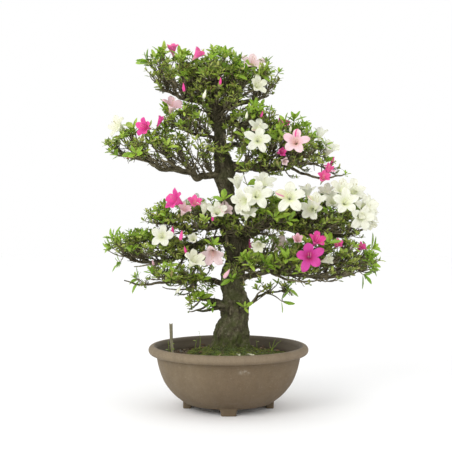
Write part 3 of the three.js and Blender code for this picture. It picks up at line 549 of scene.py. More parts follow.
peg_low, peg_high = packed_box("bamboo_peg")
peg_middle = (peg_low + peg_high) / 2
peg_foot = np.array([peg_high[0] - PEG_WIDE / 2, peg_middle[1], peg_low[2]])
peg_head = np.array([peg_low[0] + PEG_WIDE / 2, peg_middle[1], peg_high[2]])
a = circle(PEG_COLUMNS)
t = np.linspace(0, 1, PEG_ROWS)[:, None]
fibre = 1 + 0.05 * np.sin(5 * a + 0.4) + 0.04 * ripples(upright(3, a, t * 9), 1.6, 31)
taper = (0.86 + 0.14 * t) * np.where(t < 0.1, 0.5 + 5 * t, 1)
across = PEG_WIDE / 2 * taper * fibre * np.sign(np.cos(a)) * np.abs(np.cos(a)) ** 0.7
deep = PEG_THICK / 2 * taper * fibre * np.sign(np.sin(a)) * np.abs(np.sin(a)) ** 0.7
deep = deep - 0.5 * (2 * across / PEG_WIDE) ** 2
path = peg_foot + (peg_head - peg_foot) * t + np.concatenate([0.5 * np.sin(t * 7), 0 * t, 0 * t], -1)
sawn = np.where(t > 0.99, 1.0, 0.0) * (1.1 * np.sin(2 * a + 1) - 0.4)
stick = path[:, None] + np.stack([across, deep, sawn], -1)
stick = np.concatenate([path[:1, None] + 0 * stick[:1], stick, path[-1:, None] + 0 * stick[:1] - (0, 0, 1.2)])
bamboo, tree, shader, place = finish("weathered_bamboo")
height = node(tree, "SeparateXYZ", {"Vector": place}).outputs["Z"]
fibres = noise(tree, drawn_in(tree, place, (1500, 1500, 40)), 1.0, 4.0)
colour = ramp(tree, fibres, (0.3, (0.125, 0.110, 0.060)), (0.5, (0.225, 0.205, 0.120)),
              (0.72, (0.330, 0.305, 0.200)))
colour = blend(tree, fade(tree, height, 0.134, 0.112, 0.0, 0.55), colour, (0.47, 0.42, 0.30))
colour = blend(tree, ramp(tree, noise(tree, place, 220.0, 4.0), (0.55, 0.0), (0.68, 0.6)), colour,
               (0.085, 0.085, 0.045))
dress(tree, shader, colour, ramp(tree, fibres, (0.3, 0.6), (0.7, 0.85)), (fibres, 0.6, 0.0006))
make_piece("bamboo_peg", stick, quads(len(stick), PEG_COLUMNS), bamboo, "bamboo", ["bamboo_peg"], 50, True)


# ---------------------------------------------------------------- trunk
# The trunk of an old azalea: it flares into surface roots, leans and bends as it tapers, and carries ridges
# of muscle, burls where limbs leave it, a limb cut back to a stub, and thin shoots. The bark is thin and
# fissured.
TRUNK = [((4, 4, 70), 27), ((5, 2, 106), 36), ((6, 0, 128), 35), ((9, -2, 156), 31.5), ((14, -4, 182), 25),
         ((14, -5, 216), 22.5), ((9, -5, 240), 21), ((8, -3, 266), 23), ((15, 0, 300), 20),
         ((12, 4, 336), 23), ((5, 5, 362), 20.5), ((-1, 3, 400), 15.5), ((-4, 0, 440), 15),
         ((-7, -3, 474), 17.5), ((-14, -4, 505), 14), ((-15, -2, 535), 12), ((-18, 0, 558), 12),
         ((-25, 2, 582), 12.5), ((-30, 2, 606), 9.5), ((-33, 0, 634), 6.5), ((-38, -4, 666), 3.8),
         ((-42, -8, 690), 2)]
# Surface roots: bearing in degrees, reach and thickness in millimetres.
ROOTS = [(-160, 64, 11), (-110, 58, 12), (-62, 66, 10), (-26, 60, 12), (40, 56, 10), (95, 62, 11),
         (150, 68, 12)]
# Where limbs leave the trunk: bearing in degrees, height and thickness.
COLLARS = [(200, 248, 9), (190, 336, 11), (-15, 264, 10), (80, 302, 10), (215, 374, 9), (-12, 336, 15),
           (95, 392, 10), (185, 468, 11), (190, 539, 7), (-8, 480, 14), (-10, 575, 10), (70, 524, 8),
           (190, 602, 8), (-15, 589, 9), (180, 204, 13), (-95, 290, 6), (-100, 236, 7), (-40, 160, 9),
           (170, 168, 7)]
STUB = ([(6, -4, 200), (-20, -12, 208), (-34, -15, 214), (-38, -16, 217)], [14, 10.5, 8, 5.5])
SHOOTS = {
    "stub": ([(-18, -12, 202), (-46, -20, 196), (-66, -22, 198)], [4, 2.4, 1.6]),
    "lowest_right": ([(20, -8, 206), (47, -12, 212), (60, -14, 223), (76, -16, 232), (100, -18, 234),
        (126, -18, 248)], [5, 2.6, 2.2, 2, 1.6, 1.2]),
    "front_low": ([(9, -2, 288), (18, -42, 282), (36, -72, 280)], [6, 3, 2])}


def tubes(paths, radii, columns, along=0.3, against=(0.31, 0.94, 0.12)):
    """Closed tubes round paths (n, rows, 3): path + radius * (N cos a + B sin a), with N and B square to the
    path, and a pole past each end. Returns the points, the faces, and for each point its `grain`: where it
    would be on a straight tube, with its length drawn in by `along`, so that noise runs with the wood."""
    n, rows = paths.shape[:2]
    tangent = np.gradient(paths, axis=1)
    tangent /= np.linalg.norm(tangent, axis=-1, keepdims=True)
    side = np.cross(np.asarray(against) / np.linalg.norm(against), tangent)
    side /= np.linalg.norm(side, axis=-1, keepdims=True)
    other = np.cross(tangent, side)
    a = circle(columns)
    wide = radii[..., None] if radii.ndim == 2 else radii
    ring = side[:, :, None] * np.cos(a)[:, None] + other[:, :, None] * np.sin(a)[:, None]
    rings = (paths[:, :, None] + wide[..., None] * ring).reshape(n, -1, 3)
    bulge = 0.5 * tangent * wide.mean(-1, keepdims=True)
    points = np.concatenate([rings, paths[:, :1] - bulge[:, :1], paths[:, -1:] + bulge[:, -1:]], 1)
    steps = np.linalg.norm(np.diff(paths, axis=1), axis=-1)
    length = np.concatenate([np.zeros((n, 1)), steps.cumsum(1)], 1)
    start = np.random.default_rng(n + rows).uniform(0, 4000, (n, 1, 1)) if n > 1 else 0
    thick = wide.mean(-1, keepdims=True) + 0 * a
    unrolled = upright(thick, a, (length * along)[..., None] + start + 0 * a).reshape(n, -1, 3)
    grain = np.concatenate([unrolled, unrolled[:, :1], unrolled[:, -1:]], 1)
    j = np.arange(columns)
    last, pole = (rows - 1) * columns, rows * columns
    first_fan = np.stack([0 * j + pole, (j + 1) % columns, j], -1)
    last_fan = np.stack([last + j, last + (j + 1) % columns, 0 * j + pole + 1], -1)
    step = (pole + 2) * np.arange(n)[:, None, None]
    faces = [(quads(rows, columns) + step).reshape(-1, 4),
             (np.concatenate([first_fan, last_fan]) + step).reshape(-1, 3)]
    return points.reshape(-1, 3), faces, grain.reshape(-1, 3)


def together(*parts):
    """Several (points, faces, grain) as one."""
    first = np.cumsum([0] + [len(p[0]) for p in parts])
    four = np.concatenate([part[1][0] + first[k] for k, part in enumerate(parts)])
    three = np.concatenate([part[1][1] + first[k] for k, part in enumerate(parts)])
    return np.concatenate([p[0] for p in parts]), [four, three], np.concatenate([p[2] for p in parts])


def wander(points, size, seed):
    """Ripples along each axis, that carry a path off its line."""
    return np.stack([ripples(points, size, seed + k) for k in range(3)], -1)


def bark_relief(grain, size, seed):
    """Plates and fissures of bark from -1 to 1: 0.65 (1 - 2 |noise|), whose valleys are sharp, and 0.35 of a
    finer noise, both along the grain."""
    plates = 1 - 2 * np.abs(ripples(grain, size, seed))
    return 0.65 * plates + 0.35 * ripples(grain, size / 2.4, seed + 1)


TRUNK_ROWS, TRUNK_COLUMNS = 430, 112
knots = spline([(*at, radius) for at, radius in TRUNK], TRUNK_ROWS * 4)
far = np.concatenate([[0], np.linalg.norm(np.diff(knots[:, :3], axis=0), axis=1).cumsum()])
even = np.linspace(0, 1, TRUNK_ROWS) ** 0.9 * far[-1]
knots = np.stack([np.interp(even, far, knots[:, k]) for k in range(4)], -1)
path, radius = knots[:, :3], knots[:, 3:]
# Angles are bearings seen from above, so the ring is laid out from east by north.
a = circle(TRUNK_COLUMNS)
z = path[:, 2:]
twist = z / 90.0
muscle = 0.055 * np.sin(2 * a + twist + 0.5) + 0.05 * np.sin(3 * a - 1.3 * twist)
muscle = (muscle + 0.035 * np.sin(5 * a + 0.7 * twist + 2)) * np.clip(radius / 14, 0.3, 1.15)
wide = radius * (1 + muscle)


def turn_from(bearing):
    """The ring's angles as turns from a bearing in degrees, between minus and plus half a turn."""
    return (a - np.radians(bearing) + np.pi) % (2 * np.pi) - np.pi


for bearing, height, thick in COLLARS:
    off, rise = turn_from(bearing) * radius / (1.15 * thick), (z - height + 2) / (1.35 * thick)
    wide = wide + 0.42 * thick * np.exp(-(off**2) - rise**2)
# The roots part from a foot of this radius, and flare out below this height.
ROOT_FOOT, FLARE_TOP = 40, 140
for bearing, reach, thick in ROOTS:
    flare = np.clip((FLARE_TOP - z) / 44, 0, 1) ** 2.4
    off = turn_from(bearing) * ROOT_FOOT / (1.3 * thick)
    wide = wide + (reach - ROOT_FOOT) * flare * np.exp(-(off**2))
around = upright(radius, a, z * 0.42)
depth = np.clip(radius / 16, 0.25, 1)
relief = 2.0 * ripples(around, 30, 47) + 1.9 * bark_relief(around, 19, 41)
relief = relief + 1.2 * bark_relief(around, 8, 43)
wide = wide + depth * relief + 0.3 * ripples(around, 2.6, 45)
parts = [tubes(path[None], wide[None], TRUNK_COLUMNS, 0.34, (0.0, 1.0, 0.0))]
SHOOT_ROWS, SHOOT_COLUMNS = 44, 20
for k, (points, sizes) in enumerate([STUB, *SHOOTS.values()]):
    way = spline([(*p, s) for p, s in zip(points, sizes)], SHOOT_ROWS)
    way[:, :3] += 0.9 * wander(way[:, :3], 26, 50 + 3 * k)
    rough = upright(8, circle(SHOOT_COLUMNS), np.arange(SHOOT_ROWS)[:, None] * 0.9)
    size = way[:, 3:] * (1 + 0.10 * ripples(rough, 9, 60 + k)) + 0.25 * ripples(rough, 3, 70 + k)
    parts.append(tubes(way[None, :, :3], size[None], SHOOT_COLUMNS))
points, faces, grain = together(*parts)


def bark_finish(name, mossy, pale=1.0):
    """Thin dark grey bark: ridges run with the grain, furrows are near black, and green algae and moss grow
    low down, in the amount `mossy`. Dark furrows and pale ridges are partly the bark's own colour, partly
    painted shade and painted highlight. Young wood is `pale` times as light: partly its paler bark, partly
    painted light against the shade inside the crown."""
    bark, tree, shader, place = finish(name)
    grain = node(tree, "Attribute", attribute_name="grain").outputs["Vector"]
    height = node(tree, "SeparateXYZ", {"Vector": place}).outputs["Z"]
    ridges = blend(tree, 0.5, noise(tree, grain, 105.0, 6.0, 0.66), noise(tree, place, 125.0, 5.0, 0.72))
    fine = noise(tree, grain, 620.0, 4.0, 0.7)
    # From furrow to ridge the bark is painted from near black to pale, and its fine cracks darker: partly the
    # bark's own colour, partly painted shade in the furrows and cracks and painted highlight on the ridges.
    shades = {0.40: (0.020, 0.016, 0.009), 0.47: (0.062, 0.053, 0.030), 0.54: (0.106, 0.092, 0.055),
              0.65: (0.215, 0.195, 0.130)}
    colour = ramp(tree, ridges, *[(at, tuple(pale * c for c in shade)) for at, shade in shades.items()])
    colour = blend(tree, ramp(tree, fine, (0.35, 0.55), (0.55, 0.0)), colour, (0.022, 0.018, 0.011))
    algae = ramp(tree, noise(tree, place, 42.0, 5.0, 0.65), (0.44, 0.0), (0.62, 1.0))
    low = fade(tree, height, 0.30, 0.12, 0.35 * mossy, mossy)
    colour = blend(tree, times(tree, algae, low), colour, (0.062, 0.078, 0.020))
    moss_on_foot = ramp(tree, noise(tree, place, 80.0, 5.0, 0.65), (0.42, 0.0), (0.54, 1.0))
    foot = fade(tree, height, 0.160, 0.124, 0.0, 0.7)
    colour = blend(tree, times(tree, moss_on_foot, foot), colour, (0.062, 0.080, 0.013))
    lichen = ramp(tree, noise(tree, place, 110.0, 4.0, 0.6), (0.64, 0.0), (0.72, 0.4))
    colour = blend(tree, lichen, colour, (0.26, 0.25, 0.18))
    dress(tree, shader, colour, ramp(tree, ridges, (0.3, 0.95), (0.7, 0.78)),
          (blend(tree, 0.4, ridges, fine), 0.9, 0.0022), {"Specular IOR Level": 0.2})
    return bark


trunk_bark = bark_finish("trunk_bark", 0.85)
make_piece("trunk", points, faces, trunk_bark, "bark", ["trunk"], grain=grain / 1000)


# ---------------------------------------------------------------- limbs
# Fifteen limbs leave the trunk in storeys, wired when young so that they dip, kink and run out level. Each is
# thick and knotty at its foot and ends as thin as a twig.
LIMBS = {
    "lowest_left": ([(0, -2, 248), (-27, -18, 254), (-57, -32, 260), (-91, -42, 257), (-137, -46, 253),
        (-173, -44, 250), (-205, -40, 258)], [9, 6.5, 5, 4, 3, 2.2, 1.4]),
    "low_left": ([(4, 2, 336), (-41, -4, 334), (-67, -12, 323), (-97, -20, 306), (-137, -24, 293),
        (-177, -22, 294), (-212, -18, 308)], [11, 8, 7, 6, 5, 3.5, 2]),
    "low_right": ([(10, -2, 262), (43, -10, 265), (79, -22, 274), (119, -32, 270), (163, -36, 264),
        (213, -32, 264), (247, -26, 270)], [10, 7, 6, 5, 4, 3, 2]),
    "back_low": ([(14, 0, 302), (34, 38, 296), (58, 78, 290), (82, 108, 288)], [10, 7, 5, 3]),
    "mid_left": ([(0, 2, 376), (-33, -26, 362), (-67, -42, 362), (-101, -50, 367), (-132, -52, 373)],
        [9, 7, 5, 3.5, 2]),
    "mid_right": ([(10, 3, 334), (36, -4, 344), (63, -12, 362), (99, -18, 366), (139, -20, 353),
        (183, -18, 345), (233, -12, 346), (268, -8, 358)], [15, 11, 9.5, 8.5, 7, 5.5, 4, 2.5]),
    "back_mid": ([(0, 4, 390), (-6, 44, 380), (-22, 84, 372), (-36, 116, 374)], [10, 7, 5, 3]),
    "upper_left": ([(-8, -3, 468), (-38, -6, 466), (-61, -10, 458), (-77, -12, 471), (-104, -14, 475),
        (-131, -14, 477), (-157, -10, 491), (-190, -6, 500), (-226, 0, 520)],
        [11, 8, 7.5, 6.5, 6, 5.5, 4.5, 3.2, 1.8]),
    "upper_left_inner": ([(-15, 0, 538), (-36, -4, 543), (-58, -14, 544), (-81, -20, 551), (-104, -22, 570)],
        [6, 4, 3.5, 3, 2]),
    "upper_right": ([(-8, -3, 480), (22, -6, 480), (53, -14, 482), (83, -20, 478), (107, -22, 487),
        (139, -20, 498), (178, -14, 508)], [14, 11, 9, 7.5, 6, 4.5, 2.5]),
    "upper_right_inner": ([(-20, 0, 576), (8, -4, 573), (27, -10, 560), (53, -16, 551), (76, -20, 553)],
        [10, 8, 6.5, 5, 3]),
    "back_upper": ([(-14, -3, 522), (16, 38, 528), (48, 74, 534), (72, 96, 538)], [8, 6, 4.5, 2.5]),
    "crown_left": ([(-28, 2, 600), (-57, -6, 613), (-87, -10, 617), (-113, -10, 629), (-145, -6, 637)],
        [8, 6, 5, 3.5, 1.8]),
    "crown_right": ([(-24, 2, 586), (-2, -4, 603), (23, -8, 609), (53, -10, 614), (80, -8, 624)],
        [9, 7.5, 6, 4.5, 2]),
    "crown_back": ([(-31, 0, 612), (-28, 34, 624), (-26, 66, 634), (-26, 90, 640)], [7, 5, 4, 2.5])}

LIMB_COLUMNS = 26
limb_bark = bark_finish("limb_bark", 0.3, 1.35)
for k, (name, (points, sizes)) in enumerate(LIMBS.items()):
    way = spline([(*p, s) for p, s in zip(points, sizes)], 16 * len(points))
    bend = np.clip(way[:, 3:] / 4, 0.35, 1.3)
    stray = 1.1 * wander(way[:, :3], 34, 100 + 3 * k) + 0.5 * wander(way[:, :3], 12, 200 + 3 * k)
    way[:, :3] += bend * stray
    rough = upright(way[:, 3:], circle(LIMB_COLUMNS), np.arange(len(way))[:, None] * 0.9)
    knots = 1 + 0.16 * np.clip(ripples(rough, 16, 300 + k), 0, 1) + 0.06 * ripples(rough, 7, 310 + k)
    size = 0.80 * way[:, 3:] * knots + 0.22 * bend * bark_relief(rough, 5, 320 + k)
    points, faces, grain = tubes(way[None, :, :3], size[None], LIMB_COLUMNS)
    make_piece("limb_" + name, points, faces, limb_bark, "bark", ["limb_" + name], grain=grain / 1000)


# ---------------------------------------------------------------- twigs
# Each limb carries a cloud of fine twigs, pinched back every year: branchlets spring from its upper side and
# fork into shoots that end in the leaves and flowers. They are thin dark wood, dense and bare underneath.
# A spray: its limb, the middle of its underside, its half width, half depth and height, and how full it is.
SPRAYS = {
    "lowest_left": (LIMBS["lowest_left"], (-108, -42, 250), (78, 46, 34), 0.75),
    "stub": (STUB, (-62, -26, 206), (26, 26, 32), 0.8),
    "lowest_right": (SHOOTS["lowest_right"], (92, -18, 226), (38, 22, 26), 0.7),
    "low_left": (LIMBS["low_left"], (-160, -24, 298), (80, 72, 54), 0.95),
    "low_right": (LIMBS["low_right"], (190, -32, 268), (104, 76, 66), 1.0),
    "front_low": (SHOOTS["front_low"], (48, -60, 272), (46, 38, 40), 0.85),
    "back_low": (LIMBS["back_low"], (78, 104, 286), (88, 52, 46), 0.9),
    "mid_left": (LIMBS["mid_left"], (-84, -48, 358), (78, 60, 54), 1.1),
    "mid_right_inner": (LIMBS["mid_right"], (100, -26, 362), (70, 72, 60), 1.35),
    "mid_right": (LIMBS["mid_right"], (214, -14, 348), (78, 80, 80), 1.3),
    "back_mid": (LIMBS["back_mid"], (-18, 106, 368), (96, 54, 46), 0.9),
    "upper_left": (LIMBS["upper_left"], (-164, -8, 496), (76, 74, 62), 0.92),
    "upper_left_inner": (LIMBS["upper_left_inner"], (-84, -18, 540), (48, 58, 62), 1.1),
    "upper_right": (LIMBS["upper_right"], (130, -16, 490), (72, 80, 70), 1.15),
    "upper_right_inner": (LIMBS["upper_right_inner"], (48, -26, 540), (50, 60, 58), 1.1),
    "back_upper": (LIMBS["back_upper"], (76, 94, 534), (76, 54, 46), 0.9),
    "crown_left": (LIMBS["crown_left"], (-110, -8, 630), (56, 72, 76), 0.95),
    "apex": (([p for p, _ in TRUNK[-6:]], [r for _, r in TRUNK[-6:]]), (-30, -20, 634), (62, 78, 73), 1.0),
    "crown_right": (LIMBS["crown_right"], (44, -10, 618), (56, 74, 72), 1.0),
    "crown_back": (LIMBS["crown_back"], (-26, 78, 636), (82, 54, 58), 0.95)}
# Wings: lesser domes of the same sprays, which hang below the limbs or stand before the trunk.
WINGS = {
    "upper_left": [((-76, -30, 478), (50, 44, 62), 0.75)],
    "upper_left_inner": [((-26, -40, 486), (26, 20, 40), 0.8)],
    "upper_right": [((108, -44, 456), (88, 50, 44), 0.7), ((184, -30, 462), (32, 40, 40), 0.6)],
    "upper_right_inner": [((38, -48, 482), (46, 30, 54), 0.9)],
    "apex": [((4, -34, 594), (56, 44, 44), 0.7), ((-30, -46, 590), (46, 30, 50), 0.6)],
    "crown_left": [((-70, -30, 606), (34, 36, 34), 0.7), ((-112, -26, 618), (42, 36, 34), 0.6)],
    "mid_left": [((-20, -50, 316), (44, 24, 76), 0.55), ((-100, -40, 326), (52, 34, 40), 0.75)],
    "mid_right_inner": [((30, -40, 334), (40, 26, 46), 0.55), ((110, -30, 346), (60, 40, 36), 0.9)],
    "mid_right": [((196, -30, 342), (66, 40, 40), 0.7)],
    "low_left": [((-88, -44, 270), (50, 38, 60), 0.85), ((-42, -40, 264), (34, 28, 56), 0.8)],
    "low_right": [((116, -38, 272), (72, 38, 46), 0.85), ((214, -34, 272), (64, 38, 40), 0.85)],
    "lowest_left": [((-68, -40, 222), (38, 30, 54), 0.75)],
    "front_low": [((20, -54, 244), (30, 20, 40), 0.5)]}

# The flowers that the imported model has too: their colour, the way they face (-Y is the front), size, and how
# far they have opened. Their places come from the model.
MODEL_FLOWERS = {
    "flower_pink_1": ("pink", (0.62, -0.35, 0.7), 0.74, 0.62),
    "flower_magenta_1": ("magenta", (-0.55, -0.72, 0.1), 0.80, 0.85),
    "flower_white_1": ("cream", (-0.68, -0.66, 0.3), 0.98, 0.85),
    "flower_white_2": ("white", (0.02, -0.99, 0.08), 0.93, 1.0),
    "flower_pink_2": ("blotched", (-0.15, -0.93, 0.2), 0.92, 1.0),
    "flower_white_3": ("white", (0.25, 0.1, 0.93), 0.78, 0.7),
    "flower_white_4": ("white", (0.12, -0.93, 0.2), 0.98, 1.0),
    "flower_white_5": ("white", (0.1, -0.55, 0.8), 0.9, 0.85),
    "flower_white_6": ("striped", (-0.06, -0.98, 0.15), 1.1, 1.0),
    "flower_white_7": ("white", (0.05, -0.95, 0.25), 1.0, 0.95),
    "flower_white_8": ("white", (0.35, -0.85, 0.2), 1.0, 0.95),
    "flower_magenta_2": ("magenta", (-0.72, -0.5, 0.4), 1.05, 0.8),
    "flower_white_9": ("white", (0.08, -0.97, 0.15), 0.88, 0.95),
    "flower_pink_3": ("shell", (-0.1, -0.78, -0.6), 1.05, 0.85),
    "flower_white_10": ("cream", (0.45, -0.6, 0.66), 1.0, 0.75),
    "flower_magenta_3": ("purple", (0.0, -0.98, 0.12), 1.06, 1.0)}
# The other flowers, by spray: colour, place as shares of the spray's half width, half depth and height, the
# way each faces, size, and how far it has opened.
MORE_FLOWERS = {
    "crown_left": [("pink", (0, -0.4, 1.1), (-0.1, -0.35, 0.93), 0.72, 0.6),
        ("faded", (0.05, -0.6, -0.35), (0.3, -0.5, 0.7), 0.96, 0.85)],
    "crown_right": [("shell", (0.05, -0.5, 0.95), (0.2, -0.65, 0.7), 0.94, 0.9),
        ("cream", (0.25, -0.75, 0.3), (0.4, -0.75, 0.3), 0.82, 0.85)],
    "upper_left": [("magenta", (0.4, -0.6, 1.2), (0.4, -0.2, 0.88), 0.55, 0.4)],
    "upper_right_inner": [("striped", (0.2, -0.8, 0.3), (0.25, -0.75, 0.6), 0.82, 0.85)],
    "upper_right": [("white", (0.97, -0.3, 0.42), (0.35, -0.5, 0.75), 0.95, 0.75),
        ("magenta", (-0.4, -0.85, 0.25), (0.5, -0.75, 0.1), 0.55, 0.6),
        ("shell", (-0.33, -0.9, 0.0), (0.4, -0.8, -0.2), 0.5, 0.55),
        ("pink", (0.9, -0.5, -0.2), (0.45, -0.5, 0.75), 0.66, 0.6),
        ("pink", (0.76, -0.6, -0.42), (0.2, -0.75, 0.6), 0.7, 0.7)],
    "mid_right_inner": [("white", (-1.2, -0.9, 1.5), (-0.15, -0.45, 0.88), 0.84, 0.65),
        ("white", (-1.1, -1.2, 0.85), (-0.6, -0.75, -0.1), 0.98, 0.95),
        ("white", (-0.45, -0.9, 1.5), (0.15, -0.6, 0.7), 0.98, 0.85),
        ("striped", (0.95, -1.2, 0.9), (0.05, -0.55, 0.82), 0.9, 0.75),
        ("white", (0.75, -0.6, 1.25), (0, -0.3, 0.95), 0.82, 0.75),
        ("coral", (0.45, -1, -0.35), (0, -0.85, 0.35), 0.6, 0.6)],
    "mid_right": [("white", (0.05, -0.8, 1.15), (0, -0.7, 0.7), 0.98, 0.85),
        ("white", (-0.75, -1, 0.62), (-0.3, -0.85, -0.05), 0.88, 0.9),
        ("cream", (0.85, -0.4, 0.25), (0.55, -0.4, -0.7), 0.74, 0.7),
        ("white", (0.6, -0.65, 0.3), (0.2, -0.65, -0.65), 0.7, 0.7),
        ("white", (0.4, -0.5, 1.12), (0.2, -0.7, 0.65), 1.02, 0.95),
        ("white", (-0.15, -0.6, 0.85), (-0.1, -0.8, 0.5), 0.84, 0.85),
        ("white", (0.6, -0.2, 1), (0.6, -0.3, 0.7), 0.9, 0.85),
        ("white", (0.8, -0.5, 0.75), (0.7, -0.6, 0.35), 0.86, 0.85),
        ("white", (0.55, -0.9, 0.42), (0.25, -0.9, -0.2), 1.0, 0.95),
        ("white", (0.9, -0.3, 0.5), (0.85, -0.45, 0.1), 0.84, 0.85),
        ("white", (-0.3, -0.4, 1.1), (-0.3, -0.5, 0.8), 0.84, 0.8)],
    "mid_left": [("pink", (0.25, -0.6, 1), (0.15, -0.75, 0.6), 0.7, 0.7),
        ("cream", (0.5, -0.7, 0.85), (0.2, -0.2, 0.93), 0.76, 0.7),
        ("white", (0.8, -0.9, 0.7), (0.05, -0.85, 0.45), 0.8, 0.85),
        ("shell", (1, -0.7, 0.75), (0.4, -0.65, 0.65), 0.76, 0.75),
        ("cream", (0.2, -0.6, -0.3), (-0.1, -0.9, 0.3), 0.55, 0.7),
        ("faded", (0, -0.8, 0.75), (0.3, -0.5, 0.6), 0.74, 0.7)],
    "front_low": [("cream", (0.2, -0.8, 1.4), (-0.2, -0.75, -0.35), 0.72, 0.7)],
    "low_right": [("magenta", (-0.2, -0.85, 1.1), (0.35, -0.65, 0.65), 0.8, 0.75),
        ("cream", (0, -0.75, 0.5), (0.7, -0.55, 0.2), 0.68, 0.6),
        ("pink", (0.2, -0.45, 0.95), (0.2, -0.75, 0.6), 0.6, 0.6),
        ("magenta", (0.65, -0.3, 0.85), (0.5, -0.55, 0.65), 0.6, 0.6)],
    "back_upper": [("white", (-0.5, 0.65, 1.1), (0.1, 0.9, 0.35), 0.9, 0.95),
        ("magenta", (0.5, 0.3, 0.9), (0.35, 0.7, 0.6), 0.85, 0.85)],
    "back_mid": [("white", (-0.55, 0.65, 0.9), (-0.25, 0.85, 0.45), 0.92, 0.95),
        ("striped", (0.45, 0.75, 0.8), (0.1, 0.9, 0.4), 0.95, 1.0)],
    "back_low": [("shell", (0.4, 0.7, 0.8), (0.2, 0.9, 0.3), 0.85, 0.9),
        ("magenta", (-0.45, 0.6, 0.7), (-0.2, 0.85, 0.45), 0.8, 0.85)],
    "crown_back": [("white", (-0.4, 0.55, 0.95), (-0.2, 0.7, 0.65), 0.82, 0.85),
        ("pink", (0.4, 0.75, 0.75), (0.2, 0.8, 0.5), 0.75, 0.7)]}
# Buds, by spray: colour, place of the tip as the same shares, the way it points, and length.
SOME_BUDS = {
    "crown_left": [("magenta", (0.4, -0.9, 0.15), (-0.1, -0.2, 0.95), 17)],
    "apex": [("magenta", (0.25, -1, 0.2), (0.1, -0.3, 0.9), 14),
        ("cream", (-0.2, -0.85, -0.1), (0.3, -0.3, 0.9), 18)],
    "upper_left": [("pink", (-0.5, -0.3, 0.25), (-0.3, -0.1, 0.9), 15),
        ("cream", (-0.1, -0.8, 0.7), (0, -0.4, 0.9), 13)],
    "upper_right_inner": [("cream", (-0.25, -0.9, 0.8), (0.1, -0.4, 0.9), 15),
        ("pink", (0.35, -0.7, 0.85), (0.2, -0.3, 0.9), 14)],
    "upper_right": [("magenta", (1.07, -0.25, 0.16), (0.3, -0.1, 0.9), 19),
        ("cream", (-0.15, -0.85, 0.98), (0.1, -0.4, 0.9), 14)],
    "mid_left": [("magenta", (0.7, -0.95, 0.6), (0.1, -0.3, 0.9), 15),
        ("magenta", (-0.3, -0.6, 0.15), (0, -0.3, 0.9), 17),
        ("pink", (-0.05, -0.8, 0), (0.2, -0.3, 0.9), 20)],
    "low_left": [("magenta", (0.95, -0.95, 0.55), (-0.2, -0.3, 0.9), 16),
        ("coral", (0.15, -0.5, 0.05), (-0.2, -0.4, 0.9), 14)],
    "front_low": [("coral", (-1, -0.8, 0.3), (0.5, -0.3, 0.8), 22)],
    "lowest_left": [("cream", (0.2, -0.5, 0), (0.5, -0.2, 0.8), 18)],
    "low_right": [("shell", (0.5, -0.5, 1), (0.3, -0.4, 0.8), 17)],
    "back_low": [("magenta", (-0.2, -0.2, 0.95), (0, 0.4, 0.9), 16)]}
